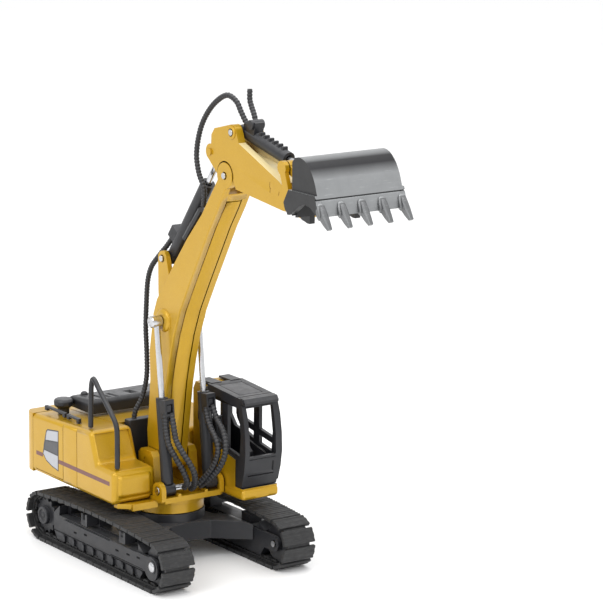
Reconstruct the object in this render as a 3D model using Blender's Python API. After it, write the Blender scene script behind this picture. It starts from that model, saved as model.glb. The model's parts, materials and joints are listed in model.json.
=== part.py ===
"""Die-cast toy excavator, about 1:50, as an assembly of separate pieces.

Lengths below are millimetres in the machine's frame: X forward, Y to the left (the cab side), Z up from
the ground, with the swing axis on X = 0. The part's own origin is the middle of its footprint, so every
point is moved back by CENTRE_X and scaled to metres when a mesh is made.
"""
import math

import bmesh
import bpy
from mathutils import Matrix, Vector

MM = 0.001
CENTRE_X = 32.8          # middle of the footprint, ahead of the swing axis
GAP = 0.3                # clearance between neighbouring pieces
OVERCUT = 5.0            # how far a cutter runs past the face it opens

# Tracks and undercarriage
TRACK_Y = 27.0           # middle of each track
SHOE_WIDTH = 14.0
BELT_WIDTH = 10.0
SHOE_COUNT = 44
SHOE_THICK = 1.3
SHOE_SPREAD = 0.2        # each shoe reaches this far past three quarters of the pitch, both ways
BELT_THICK = 1.4         # the belt lies under the shoes and overlaps them
BELT_DEPTH = 0.9         # outer face of the belt, below the outer face of a shoe
WHEEL_X = 40.3           # half the wheelbase
TRACK_R = 9.8            # outer radius of the track round a wheel
TRACK_SAG = 1.7          # rise of the top run at mid length
WHEEL_R = TRACK_R - BELT_DEPTH - BELT_THICK - GAP
WHEEL_HALF = 3.6
SPROCKET_TEETH = 14
CARRIER_X = (-7.5, 20.0)  # the two supports under the top run

# Upper structure
RING_R = 13.7            # turntable
RIVET_R = 2.3            # the rivet that holds the house on
HOUSE_HALF = 30.5
HOUSE_LOW = 25.1
HOUSE_REAR = -50.0
HOUSE_WALL = 2.0
REAR_X = -63.2           # rearmost point of the counterweight
REAR_R = 63.6            # its large radius in plan
REAR_CORNER_R = 6.2
CHANNEL_Y = 12.0         # half width of the channel that the boom stands in
DECK_TOP = 27.2
CAB_Y0, CAB_Y1 = 14.6, 30.5
CAB_WALL = 1.4

# Pivots in the XZ plane
BOOM_FOOT = (-0.5, 37.5)
CYL_FOOT = (14.3, 29.8)
CYL_EYE = (6.7, 93.4)
CYL_Y = 9.3
STICK_PIVOT = (47.5, 154.8)
STICK_CYL_FOOT = (3.8, 116.5)
STICK_CYL_EYE = (37.7, 162.2)
BUCKET_CYL_FOOT = (51.6, 171.2)
ROCKER_PIVOT = (90.8, 151.1)
LINK_PIN = (86.3, 163.7)
COUPLER_LINK = (98.7, 158.7)
STICK_TIP = (98.5, 150.5)
BUCKET_PINS = ((104.4, 151.3), (104.3, 159.5))

BOOM_HALF = 6.25
GROOVE_HALF = 3.6        # panel sunk into the boom's underside
STICK_HALF = 5.9
PIN_R = 1.2
BORE_R = PIN_R + GAP
FOOT_SHAFT_R = 1.5
BUCKET_HALF = 18.0
BUCKET_WALL = 1.4
HOSE_R = 1.0

YELLOW = ((0.80, 0.47, 0.055), 0.35, 0.35)
BLACK = ((0.022, 0.023, 0.026), 0.45, 0.0)
RUBBER = ((0.030, 0.030, 0.032), 0.65, 0.0)
CHROME = ((0.85, 0.85, 0.86), 0.12, 1.0)
STEEL = ((0.10, 0.105, 0.11), 0.32, 0.75)
RED = ((0.75, 0.035, 0.02), 0.35, 0.0)


# ---------------------------------------------------------------- mesh helpers
def new_object(name, bm):
    """A linked object from a bmesh given in millimetres of the machine's frame."""
    bmesh.ops.transform(bm, matrix=Matrix.Translation((-CENTRE_X, 0, 0)), verts=bm.verts)
    bmesh.ops.scale(bm, vec=(MM, MM, MM), verts=bm.verts)
    bmesh.ops.recalc_face_normals(bm, faces=bm.faces)
    mesh = bpy.data.meshes.new(name)
    bm.to_mesh(mesh)
    bm.free()
    obj = bpy.data.objects.new(name, mesh)
    bpy.context.scene.collection.objects.link(obj)
    return obj


def extrude(name, outline, low, high, axis="Y"):
    """A prism: an outline in XZ carried along Y, in XY along Z, or in YZ along X."""
    order = {"X": (2, 0, 1), "Y": (0, 2, 1), "Z": (0, 1, 2)}[axis]
    bm = bmesh.new()
    first = [bm.verts.new([(*point, low)[k] for k in order]) for point in outline]
    last = [bm.verts.new([(*point, high)[k] for k in order]) for point in outline]
    bm.faces.new(first)
    bm.faces.new(last[::-1])
    for i, vert in enumerate(first):
        j = (i + 1) % len(first)
        bm.faces.new((vert, last[i], last[j], first[j]))
    return new_object(name, bm)


def box(name, x, y, z):
    return extrude(name, [(x[0], z[0]), (x[1], z[0]), (x[1], z[1]), (x[0], z[1])], y[0], y[1])


def circle(centre, radius, count, start=0.0, sweep=360.0):
    """Points round an arc; a full turn leaves out the repeated last point."""
    steps = count if abs(sweep) >= 360 else count - 1
    return [(centre[0] + radius * math.cos(math.radians(start + sweep * i / steps)),
             centre[1] + radius * math.sin(math.radians(start + sweep * i / steps))) for i in range(count)]


def disc(name, centre, radius, low, high, count=20, axis="Y"):
    return extrude(name, circle(centre, radius, count), low, high, axis)


def bore(centre):
    """Cutter for a pin hole right across the machine."""
    return disc("bore", centre, BORE_R, -20, 20, 10)


def rod(name, start, end, radius, count=14, y=0.0, inset=0.0, stop=None):
    """A round bar in the XZ plane at one y, from inset along the line to stop (or to its end)."""
    a, b = Vector((start[0], y, start[1])), Vector((end[0], y, end[1]))
    run = (b - a).normalized()
    length = (b - a).length if stop is None else stop
    p, q = a + run * inset, a + run * length
    bm = bmesh.new()
    bmesh.ops.create_cone(bm, cap_ends=True, segments=count, radius1=radius, radius2=radius,
                          depth=(q - p).length)
    turn = Vector((0, 0, 1)).rotation_difference(run).to_matrix().to_4x4()
    bmesh.ops.transform(bm, matrix=Matrix.Translation((p + q) / 2) @ turn, verts=bm.verts)
    return new_object(name, bm)


def boolean(target, tools, operation):
    """Apply an exact Boolean with each tool in turn; the tools are used up."""
    for tool in tools:
        step = target.modifiers.new("step", "BOOLEAN")
        step.operation = operation
        step.solver = "EXACT"
        step.object = tool
        bpy.context.view_layer.update()
        graph = bpy.context.evaluated_depsgraph_get()
        result = bpy.data.meshes.new_from_object(target.evaluated_get(graph))
        target.modifiers.clear()
        old = target.data
        target.data = result
        bpy.data.meshes.remove(old)
        bpy.data.objects.remove(tool)
    return target


def union(target, *tools):
    return boolean(target, tools, "UNION")


def cut(target, *tools):
    return boolean(target, tools, "DIFFERENCE")


def gather(name, pieces):
    """Several loose solids in one object, to be used as a single Boolean tool."""
    bm = bmesh.new()
    for piece in pieces:
        bm.from_mesh(piece.data)
        bpy.data.objects.remove(piece)
    mesh = bpy.data.meshes.new(name)
    bm.to_mesh(mesh)
    bm.free()
    obj = bpy.data.objects.new(name, mesh)
    bpy.context.scene.collection.objects.link(obj)
    return obj


def finish(obj, paint, pivot=None, smooth=False):
    """Give a piece its name on the mesh, its material and its origin on the joint's axis."""
    colour, roughness, metallic = paint
    obj.data.name = obj.name
    material = bpy.data.materials.new(obj.name)
    material.use_nodes = True
    shader = material.node_tree.nodes["Principled BSDF"]
    shader.inputs["Base Color"].default_value = (*colour, 1.0)
    shader.inputs["Roughness"].default_value = roughness
    shader.inputs["Metallic"].default_value = metallic
    obj.data.materials.clear()
    obj.data.materials.append(material)
    if pivot is not None:
        origin = Vector(((pivot[0] - CENTRE_X) * MM, 0.0, pivot[1] * MM))
        obj.data.transform(Matrix.Translation(-origin))
        obj.location = origin
    if smooth:
        obj.data.shade_smooth()
        obj.data.set_sharp_from_angle(angle=math.radians(35))
    return obj


def smooth_route(points, count):
    """Points along a Catmull-Rom curve through a short list of points."""
    ends = [points[0] * 2 - points[1]] + points + [points[-1] * 2 - points[-2]]
    route = []
    for i in range(count):
        place = (len(points) - 1) * i / (count - 1)
        k = min(int(place), len(points) - 2)
        t = place - k
        a, b, c, d = ends[k:k + 4]
        route.append(0.5 * (2 * b + (c - a) * t + (2 * a - 5 * b + 4 * c - d) * t * t
                            + (3 * b - a - 3 * c + d) * t ** 3))
    return route


def tube(name, points, radius, count, paint, pivot=None):
    """A hose or bent bar: a poly curve with a round bevel through a smooth route."""
    route = smooth_route([Vector(p) for p in points], count)
    curve = bpy.data.curves.new(name, "CURVE")
    curve.dimensions = "3D"
    curve.bevel_depth = radius * MM
    curve.bevel_resolution = 2
    curve.use_fill_caps = True
    origin = Vector((pivot[0], 0, pivot[1])) if pivot else Vector((CENTRE_X, 0, 0))
    spline = curve.splines.new("POLY")
    spline.points.add(len(route) - 1)
    for point, place in zip(spline.points, route):
        point.co = (*((place - origin) * MM), 1.0)
    obj = bpy.data.objects.new(name, curve)
    obj.location = ((origin.x - CENTRE_X) * MM, 0, origin.z * MM)
    bpy.context.scene.collection.objects.link(obj)
    material = bpy.data.materials.new(name)
    material.use_nodes = True
    shader = material.node_tree.nodes["Principled BSDF"]
    shader.inputs["Base Color"].default_value = (*paint[0], 1.0)
    shader.inputs["Roughness"].default_value = paint[1]
    curve.materials.append(material)
    return obj


def as_mesh(tube_object):
    """A mesh copy of a curve, in the scene's own frame, so that a Boolean can use it."""
    bpy.context.view_layer.update()
    graph = bpy.context.evaluated_depsgraph_get()
    mesh = bpy.data.meshes.new_from_object(tube_object.evaluated_get(graph))
    mesh.transform(tube_object.matrix_world)
    obj = bpy.data.objects.new(tube_object.name, mesh)
    bpy.context.scene.collection.objects.link(obj)
    bpy.data.objects.remove(tube_object)
    return obj


def both_sides(low, high):
    """The same y range on the right and on the left of the machine."""
    return ((-high, -low), (low, high))


def mid(a, b, t):
    return (a[0] + (b[0] - a[0]) * t, a[1] + (b[1] - a[1]) * t)


# ---------------------------------------------------------------- undercarriage
def track_path(depth, count):
    """Points of the track's loop, a given depth below its outer face, equally spaced along it."""
    radius = TRACK_R - depth
    fine = []
    for i in range(200):
        fine.append((WHEEL_X - 2 * WHEEL_X * i / 200, depth))
    fine += circle((-WHEEL_X, TRACK_R), radius, 60, 270, -180)[:-1]
    for i in range(200):
        x = -WHEEL_X + 2 * WHEEL_X * i / 200
        fine.append((x, TRACK_R + radius + TRACK_SAG * (1 - (x / WHEEL_X) ** 2)))
    fine += circle((WHEEL_X, TRACK_R), radius, 60, 90, -180)[:-1]
    runs = [math.dist(fine[i], fine[(i + 1) % len(fine)]) for i in range(len(fine))]
    total = sum(runs)
    points, k, done = [], 0, 0.0
    for i in range(count):
        goal = total * i / count
        while done + runs[k] < goal:
            done += runs[k]
            k += 1
        points.append(mid(fine[k], fine[(k + 1) % len(fine)], (goal - done) / runs[k]))
    return points


def build_track(side, name):
    y = side * TRACK_Y
    belt = extrude(name, track_path(BELT_DEPTH, 2 * SHOE_COUNT), y - BELT_WIDTH / 2, y + BELT_WIDTH / 2)
    hole = extrude("hole", track_path(BELT_DEPTH + BELT_THICK, 2 * SHOE_COUNT),
                   y - BELT_WIDTH, y + BELT_WIDTH)
    belt = cut(belt, hole)
    ends = track_path(0.0, 4 * SHOE_COUNT)
    shoes = []
    for k in range(SHOE_COUNT):
        a, b = Vector(ends[4 * k]), Vector(ends[(4 * k + 3) % len(ends)])
        along = (b - a).normalized()
        inward = Vector((along.y, -along.x))
        middle = (a + b) / 2
        centre = Vector((max(-WHEEL_X, min(WHEEL_X, middle.x)), TRACK_R))
        if inward.dot(centre - middle) < 0:
            inward = -inward
        spread = along * SHOE_SPREAD
        a, b, sunk = a - spread, b + spread, inward * SHOE_THICK
        corners = [a, b, b + sunk, a + sunk]
        shoes.append(extrude("shoe", [tuple(c) for c in corners], y - SHOE_WIDTH / 2, y + SHOE_WIDTH / 2))
    return finish(union(belt, gather("shoes", shoes)), RUBBER)


def build_track_frame(side, name):
    """Side frame: a box beam with a deep recess over it, a fork round the idler, an arm to the sprocket."""
    y = side * TRACK_Y
    inner = (y - side * 5.4, y - side * 3.9)
    outer = (y + side * 3.9, y + side * 5.4)
    reach = WHEEL_X - WHEEL_R - 0.6
    low, high = 2.7, 17.2
    outline = [(-reach, 6.0), (-reach + 2.5, low), (reach - 2.5, low), (reach, 6.0), (reach, 13.0),
               (reach - 4.0, 16.2), (8, high + 0.6), (-8, high + 0.6), (-reach + 4.0, 16.2), (-reach, 13.0)]
    frame = extrude(name, outline, y - 4.6, y + 4.6)
    arm = [(-WHEEL_X, 6.8), (WHEEL_X, 6.8)] + circle((WHEEL_X, TRACK_R), 3.0, 7, -80, 160)
    arm += [(-WHEEL_X, 12.8)] + circle((-WHEEL_X, TRACK_R), 3.0, 7, 100, 160)
    front_arm = [(10, 6.8)] + circle((WHEEL_X, TRACK_R), 3.0, 8, -90, 180) + [(10, 12.8)]
    frame = union(frame, extrude("arm", arm, min(inner), max(inner)),
                  extrude("arm", front_arm, min(outer), max(outer)))
    panel = box("panel", (-24, 26), (min(outer), max(outer)), (7.6, 12.0))
    frame = union(frame, panel)
    frame = cut(frame, disc("bore", (WHEEL_X, TRACK_R), BORE_R, y - 9, y + 9, 10))
    stub = sorted((y - side * 4.0, y + side * 1.6))
    frame = union(frame, disc("stub", (-WHEEL_X, TRACK_R), PIN_R, stub[0], stub[1], 12))
    recess = [(4.0 - reach, 12.6), (reach - 4.0, 12.6), (reach - 5.0, 20.0), (5.0 - reach, 20.0)]
    frame = cut(frame, extrude("recess", recess, *sorted((y + side * 0.8, y + side * 9.0))))
    carriers = [box("carrier", (x - 2.0, x + 2.0), sorted((y, y + side * 5.4)), (14.0, 17.4))
                for x in CARRIER_X]
    return finish(union(frame, *carriers), BLACK)


def build_car_body():
    """Centre frame: a round boss under the turntable and four arms that curve out to the side frames."""
    root = TRACK_Y - 5.4 - GAP
    outline = []
    for quarter in range(4):
        sx, sy = ((1, 1), (-1, 1), (-1, -1), (1, -1))[quarter]
        corner = [(14.6, 0.0), (16.0, 9.0), (27.0, root), (13.0, root), (9.0, 15.0), (0.0, 13.6)]
        corner = [(sx * x, sy * yy) for x, yy in corner]
        outline += corner if quarter % 2 == 0 else corner[::-1]
    clean = [p for i, p in enumerate(outline) if p != outline[i - 1]]
    body = extrude("car_body", clean, 8.0, 15.2, "Z")
    body = union(body, disc("boss", (0, 0), 14.0, 8.0, 18.7, 24, "Z"))
    body = cut(body, disc("bore", (0, 0), RIVET_R + GAP, 0, 30, 16, "Z"))
    slopes = [extrude("slope", [(sy * 15.5, 15.9), (sy * 30, 11.6), (sy * 30, 19.0)], -30, 30, "X")
              for sy in (1, -1)]
    return finish(cut(body, *slopes), BLACK)


def build_wheels():
    for side, tag in ((-1, "right"), (1, "left")):
        y = side * TRACK_Y
        half = WHEEL_HALF
        for x, kind in ((-WHEEL_X, "sprocket"), (WHEEL_X, "idler")):
            name = f"{kind}_{tag}"
            if kind == "idler":
                wheel = disc(name, (x, TRACK_R), WHEEL_R, y - half, y + half, 20)
                wheel = cut(wheel, disc("bore", (x, TRACK_R), BORE_R, y - 9, y + 9, 10))
            else:
                points = []
                for i in range(2 * SPROCKET_TEETH):
                    radius = WHEEL_R if i % 2 == 0 else WHEEL_R - 1.1
                    turn = 180 * i / SPROCKET_TEETH
                    points += circle((x, TRACK_R), radius, 2, turn + 3, 6)
                wheel = extrude(name, points, y - half, y + half)
                cap = sorted((y + side * half, y + side * 5.6))
                wheel = union(wheel, disc("hub", (x, TRACK_R), 4.4, cap[0] - 0.01, cap[1], 20))
                deep = sorted((y - side * 9, y + side * 2.0))
                wheel = cut(wheel, disc("bore", (x, TRACK_R), BORE_R, deep[0], deep[1], 10))
            finish(wheel, BLACK, (x, TRACK_R), True)
    for side, tag in ((-1, "right"), (1, "left")):
        y = side * TRACK_Y
        axle = disc(f"idler_axle_{tag}", (WHEEL_X, TRACK_R), PIN_R, y - 5.9, y + 5.9, 14)
        finish(axle, CHROME, smooth=True)


# ---------------------------------------------------------------- upper structure
def build_turntable():
    ring = union(disc("turntable_ring", (0, 0), RING_R, 19.0, 24.8, 28, "Z"),
                 disc("flange", (0, 0), RING_R + 0.9, 22.9, 24.8, 28, "Z"))
    ring = cut(ring, disc("bore", (0, 0), RIVET_R + GAP, 0, 30, 16, "Z"))
    finish(ring, YELLOW, smooth=True)
    rivet = union(disc("swing_rivet", (0, 0), RIVET_R, 6.8, 24.6, 16, "Z"),
                  disc("head", (0, 0), 4.2, 6.4, 7.7, 20, "Z"))
    finish(rivet, CHROME, smooth=True)


def build_house():
    """Both side housings and the engine bay: the right side is a tall bay, a sloped face and a tool box."""
    outline = [(HOUSE_REAR, HOUSE_LOW), (8.6, HOUSE_LOW), (9.5, 26.4), (9.9, 36.4), (8.4, 38.2),
               (-1.8, 38.7), (-3.2, 40.4), (-6.2, 49.2), (-7.6, 50.4), (HOUSE_REAR, 48.4)]
    right = extrude("house_shell", outline, -HOUSE_HALF, -CHANNEL_Y)
    bay = extrude("bay", [(HOUSE_REAR, HOUSE_LOW), (-13.9, HOUSE_LOW), (-13.9, 50.2), (HOUSE_REAR, 48.4)],
                  -CHANNEL_Y - 0.01, CHANNEL_Y + 0.01)
    left = extrude("left", [(HOUSE_REAR, HOUSE_LOW), (-6.1, HOUSE_LOW), (-6.1, 46.0), (-17.0, 46.4),
                            (-28.0, 49.3), (HOUSE_REAR, 48.4)], CHANNEL_Y, HOUSE_HALF)
    shell = union(right, bay, left)
    wall = HOUSE_WALL
    side = HOUSE_HALF - wall
    top = 46.2
    cavity = [box("cavity", (HOUSE_REAR + wall, -13.9 - wall), (-side, side), (HOUSE_LOW - OVERCUT, top)),
              box("cavity", (-20, -8.2), (-side, -CHANNEL_Y - wall), (HOUSE_LOW - OVERCUT, top)),
              box("cavity", (-20, 7.6), (-side, -CHANNEL_Y - wall), (HOUSE_LOW - OVERCUT, 36.2)),
              box("cavity", (-20, -6.1 - wall), (CHANNEL_Y + wall, side), (HOUSE_LOW - OVERCUT, 43.5)),
              box("rebate", (-20, 40), (-14.3 - GAP, 14.3 + GAP), (HOUSE_LOW - OVERCUT, DECK_TOP + GAP)),
              box("rebate", (HOUSE_REAR + wall, 7.6), (-side, side), (HOUSE_LOW - OVERCUT, DECK_TOP + GAP))]
    shell = cut(shell, *cavity)
    grooves = [box("groove", (x - 0.25, x + 0.25), (-HOUSE_HALF - 1, -HOUSE_HALF + 0.4), (20, 60))
               for x in (-28.0, -17.6)]
    grooves.append(box("groove", (-28.25, -27.75), (HOUSE_HALF - 0.4, HOUSE_HALF + 1), (20, 60)))
    finish(cut(shell, *grooves), YELLOW)


def rear_plan(offset):
    """Plan of the counterweight: one large arc and two corners, moved outwards by offset."""
    lean = math.asin((HOUSE_HALF - REAR_CORNER_R) / (REAR_R - REAR_CORNER_R))
    reach = REAR_R - REAR_CORNER_R
    corner = (REAR_X + REAR_R - reach * math.cos(lean), HOUSE_HALF - REAR_CORNER_R)
    turn = 90 - math.degrees(lean)
    front = HOUSE_REAR - GAP
    outline = [(front, -HOUSE_HALF - offset), (front, HOUSE_HALF + offset)]
    outline += circle(corner, REAR_CORNER_R + offset, 5, 90, turn)
    outline += circle((REAR_X + REAR_R, 0.0), REAR_R + offset, 10, 90 + turn, 180 - 2 * turn)[1:-1]
    outline += circle((corner[0], -corner[1]), REAR_CORNER_R + offset, 5, 270 - turn, turn)
    return outline


def on_rear(name, outline):
    """A thin plate with an outline in YZ, laid on the curved rear face."""
    plate = extrude(name, rear_plan(GAP + 0.7), 26.0, 46.0, "Z")
    inside = extrude("inside", rear_plan(GAP), 20.0, 50.0, "Z")
    return boolean(cut(plate, inside), [extrude("outline", outline, -80.0, -52.0, "X")], "INTERSECT")


def build_counterweight():
    body = extrude("counterweight", rear_plan(0.0), HOUSE_LOW, 48.4, "Z")
    slope = extrude("slope", [(-70, 27.6), (-57.0, 24.0), (-57.0, 20.0), (-70, 20.0)], -40, 40)
    crown = extrude("crown", [(-70, 52), (-52.0, 52), (-57.0, 48.2), (-70, 45.0)], -40, 40)
    finish(cut(body, slope, crown), YELLOW)
    finish(on_rear("rear_plate", [(-11.5, 30.6), (11.5, 30.6), (11.5, 35.4), (-11.5, 35.4)]), BLACK)
    for side, tag in ((-1, "right"), (1, "left")):
        light = [(17.0, 30.8), (23.0, 31.4), (25.6, 34.0), (26.0, 41.0), (22.6, 41.0), (21.8, 35.4),
                 (17.2, 34.6)]
        finish(on_rear(f"tail_light_{tag}", [(side * y, z) for y, z in light]), RED)


def build_deck():
    side = HOUSE_HALF - HOUSE_WALL - GAP
    plan = [(HOUSE_REAR + HOUSE_WALL + GAP, -side), (7.2, -side), (7.2, -14.2), (12.0, -14.2), (17.6, -12.4),
            (17.6, 12.4), (16.4, 14.2), (-8.6, 14.2), (-8.6, side), (HOUSE_REAR + HOUSE_WALL + GAP, side)]
    deck = extrude("deck_plate", plan, HOUSE_LOW, DECK_TOP, "Z")
    step = box("step", (7.4, 13.2), (-24.0, -13.0), (HOUSE_LOW - 2.0, HOUSE_LOW - GAP))
    link = box("link", (10.3, 13.2), (-24.0, -13.0), (HOUSE_LOW - 0.4, HOUSE_LOW + 0.6))
    deck = union(deck, link, step)
    lugs = []
    for low, high in both_sides(12.0, 14.0) + both_sides(5.3, 6.6):
        lug = circle(CYL_FOOT, 3.3, 9, 0, 180) + [(CYL_FOOT[0] - 3.3, 26.0), (CYL_FOOT[0] + 3.3, 26.0)]
        lugs.append(extrude("lug", lug, low, high))
    for low, high in both_sides(BOOM_HALF + 0.4, 9.4):
        lug = circle(BOOM_FOOT, 4.2, 9, -10, 200) + [(-9.0, 26.0), (7.0, 26.0)]
        lugs.append(extrude("lug", lug, low, high))
    deck = union(deck, *lugs)
    deck = cut(deck, disc("bore", CYL_FOOT, FOOT_SHAFT_R + GAP, -20, 20, 10), bore(BOOM_FOOT),
               disc("bore", (0, 0), RIVET_R + GAP, 0, 40, 16, "Z"))
    finish(deck, YELLOW)
    finish(disc("cylinder_foot_shaft", CYL_FOOT, FOOT_SHAFT_R, -14.2, 14.2, 16), CHROME, smooth=True)
    finish(disc("boom_foot_pin", BOOM_FOOT, PIN_R, -9.8, 9.8, 14), CHROME, smooth=True)


def build_hood():
    base = 50.8
    outline = [(-45.4, base), (-27.4, base), (-27.4, 55.4), (-29.0, 57.6), (-43.2, 56.2), (-45.4, 54.0)]
    hood = extrude("engine_hood", outline, -17.6, 22.0)
    corner = ((22.4, 52.6), (22.4, 62), (15.5, 62))
    chamfers = [extrude("chamfer", [(side * a + shift, z) for a, z in corner], -50, 0, "X")
                for side, shift in ((-1, 4.4), (1, 0))]
    exhaust = disc("exhaust", (-41.0, -12.4), 1.3, 54.0, 58.3, 12, "Z")
    finish(union(cut(hood, *chamfers), exhaust), BLACK)
    cap = union(disc("intake_cap", (-42.0, -21.4), 1.9, 48.9, 51.6, 14, "Z"),
                disc("head", (-42.0, -21.4), 3.5, 51.5, 53.6, 16, "Z"))
    finish(cap, BLACK, smooth=True)
    for name, x0, x1 in (("rail_rear", -47.0, -31.8), ("rail_front", -30.4, -21.4)):
        rail = box(name, (x0, x1), (-27.0, -25.6), (49.9, 51.8))
        finish(cut(rail, box("gap", (x0 + 1.8, x1 - 1.8), (-29, -24), (49, 50.9))), BLACK)
    bends = ((-12.3, 50.6), (-12.25, 56.0), (-12.0, 62.0), (-11.7, 67.2), (-10.4, 70.0), (-8.4, 68.9),
             (-5.8, 66.4), (-1.0, 62.4), (3.6, 58.4), (6.3, 55.2), (6.9, 51.0), (6.9, 45.0), (6.9, 38.75))
    tube("handrail", [(x, -27.0, z) for x, z in bends], 1.05, 24, BLACK)
    manifold = box("hose_manifold", (-13.5, -9.6), (-11.4, 11.4), (34.0, 51.6))
    finish(manifold, BLACK)


def build_cab():
    """Yellow cab body, black front frame, seat, console, roof pads and mirror."""
    rear, base = -5.0, 25.4
    outline = [(rear, base), (27.6, base), (28.6, 26.2), (29.3, 29.5), (rear, 29.5)]
    floor = extrude("cab_body", outline, CAB_Y0, CAB_Y1)
    low = [(rear, 29.4), (24.4, 29.4), (24.4, 40.0), (8.0, 43.6), (2.6, 49.0), (1.6, 62.4), (4.4, 64.6),
           (rear + 1.6, 65.0), (rear, 62.0)]
    wall = extrude("wall", low, CAB_Y0, CAB_Y1)
    cab = union(floor, wall)
    hollow = extrude("hollow", [(rear + 3.0, 29.5), (40, 29.5), (40, 61.5), (rear + 3.0, 62.6)],
                     CAB_Y0 + CAB_WALL, CAB_Y1 - CAB_WALL)
    back = box("back", (rear - 5, rear + 6), (CAB_Y0 + 3.4, CAB_Y1 - 3.4), (49.5, 60.6))
    side = extrude("side", [(-1.6, 50.5), (2.0, 46.6), (40, 41.0), (40, 60.4), (-1.6, 60.4)],
                   CAB_Y0 - 5, CAB_Y1 + 5)
    cab = cut(cab, hollow, back, side)
    relief = box("relief", (-20, 4.0), (-1, 14.4), (20, 28))
    cab = cut(cab, relief)
    finish(cab, YELLOW)

    face = [(28.6, 29.8), (30.3, 36.0), (31.2, 43.0), (31.0, 50.0), (29.8, 57.0), (28.0, 62.2),
            (29.4, 62.6), (29.0, 64.2), (5.0, 65.8), (5.0, 63.0)]
    inner = [(2.4, 61.2), (2.4, 58.6), (3.4, 50.4), (8.4, 44.2), (24.8, 40.6), (24.8, 29.8)]
    front = extrude("cab_front", face + inner, CAB_Y0, CAB_Y1)
    space = [(-5, 25), (26.9, 25), (26.9, 29.9), (28.8, 36.0), (29.7, 43.0), (29.5, 50.0), (28.3, 57.0),
             (26.8, 61.4), (-5, 62.0)]
    hollow = extrude("hollow", space, CAB_Y0 + CAB_WALL, CAB_Y1 - CAB_WALL)
    windscreen = box("windscreen", (20, 40), (CAB_Y0 + 2.0, CAB_Y1 - 2.0), (42.0, 60.6))
    front_pane = [(18.0, 43.6), (27.2, 42.0), (28.0, 50.0), (26.2, 60.4), (18.0, 60.6)]
    rear_pane = [(5.0, 52.0), (9.4, 46.0), (16.2, 44.0), (16.2, 60.6), (4.6, 60.8)]
    windows = [extrude("window", pane, y - OVERCUT, y + OVERCUT)
               for y in (CAB_Y0, CAB_Y1) for pane in (front_pane, rear_pane)]
    front = cut(front, hollow, windscreen, *windows)
    pads = [box("pad", (-2.6, 6.0), (y, y + 4.6), (65.3, 66.0)) for y in (CAB_Y0 + 1.2, CAB_Y1 - 5.8)]
    finish(union(front, *pads), BLACK)

    y0, y1 = CAB_Y0 + CAB_WALL + 1.6, CAB_Y1 - CAB_WALL - 1.6
    seat = [(1.2, 29.8), (11.5, 29.8), (12.0, 37.6), (5.2, 37.0), (3.4, 51.5), (0.8, 51.2)]
    finish(extrude("cab_seat", seat, y0 + 1.6, y1 - 1.6), BLACK)
    console = [(16.5, 29.8), (21.5, 29.8), (22.6, 41.5), (20.4, 43.4), (18.6, 41.6)]
    finish(extrude("cab_console", console, y0 + 3.6, y1 - 3.6), BLACK)
    mirror = box("cab_mirror", (26.8, 28.8), (CAB_Y1 + GAP, CAB_Y1 + 1.3), (52.6, 56.4))
    finish(mirror, BLACK)


# ---------------------------------------------------------------- boom, stick and bucket
def build_boom():
    back = [(-4.8, 44.0), (-5.2, 48.3), (-4.1, 56.4), (-3.0, 68.7), (-3.5, 79.4), (-0.7, 94.6),
            (1.8, 100.7), (7.1, 107.6), (15.1, 118.1), (22.4, 127.1), (32.4, 138.0)]
    under = [(42.9, 141.4), (37.3, 133.1), (30.2, 121.0), (23.5, 109.4), (17.2, 98.1),
             (13.2, 88.3), (10.0, 77.3), (7.9, 68.0), (6.0, 56.0), (4.0, 42.0)]
    tip = circle(STICK_PIVOT, 4.9, 10, 205, -290)
    foot = circle(BOOM_FOOT, 4.4, 8, 20, -220)
    boom = extrude("boom_arm", back + tip + under + foot, -BOOM_HALF, BOOM_HALF)
    ear = circle(STICK_CYL_FOOT, 2.9, 8, 20, 150) + [(1.1, 104.0), (1.4, 99.0), (9.0, 109.0), (8.6, 111.0)]
    ears = [extrude("ear", ear, low, high) for low, high in both_sides(3.1, 5.2)]
    bosses = [disc("boss", CYL_EYE, 3.7, low, high, 20) for low, high in both_sides(BOOM_HALF - 0.1, 7.6)]
    boom = union(boom, *ears, *bosses)
    slot = disc("slot", STICK_PIVOT, 9.6, -3.6, 3.6, 28)
    boom = cut(boom, slot, bore(STICK_PIVOT), bore(BOOM_FOOT), bore(STICK_CYL_FOOT))
    swing = disc("swing", STICK_CYL_FOOT, 4.2, -3.1, 3.1, 20)
    groove = [(42.6, 138.6), (30.9, 119.9), (18.0, 97.2), (11.1, 77.0), (9.2, 68.0), (6.0, 68.4),
              (8.6, 78.0), (15.0, 98.0), (28.6, 121.4), (40.2, 140.4)]
    boom = cut(boom, swing, extrude("groove", groove, -GROOVE_HALF, GROOVE_HALF))
    finish(boom, YELLOW, BOOM_FOOT)
    finish(disc("stick_pivot_pin", STICK_PIVOT, PIN_R, -6.9, 6.9, 14), CHROME, STICK_PIVOT, True)
    finish(disc("stick_cylinder_pin", STICK_CYL_FOOT, PIN_R, -5.9, 5.9, 14), CHROME, BOOM_FOOT, True)


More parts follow.
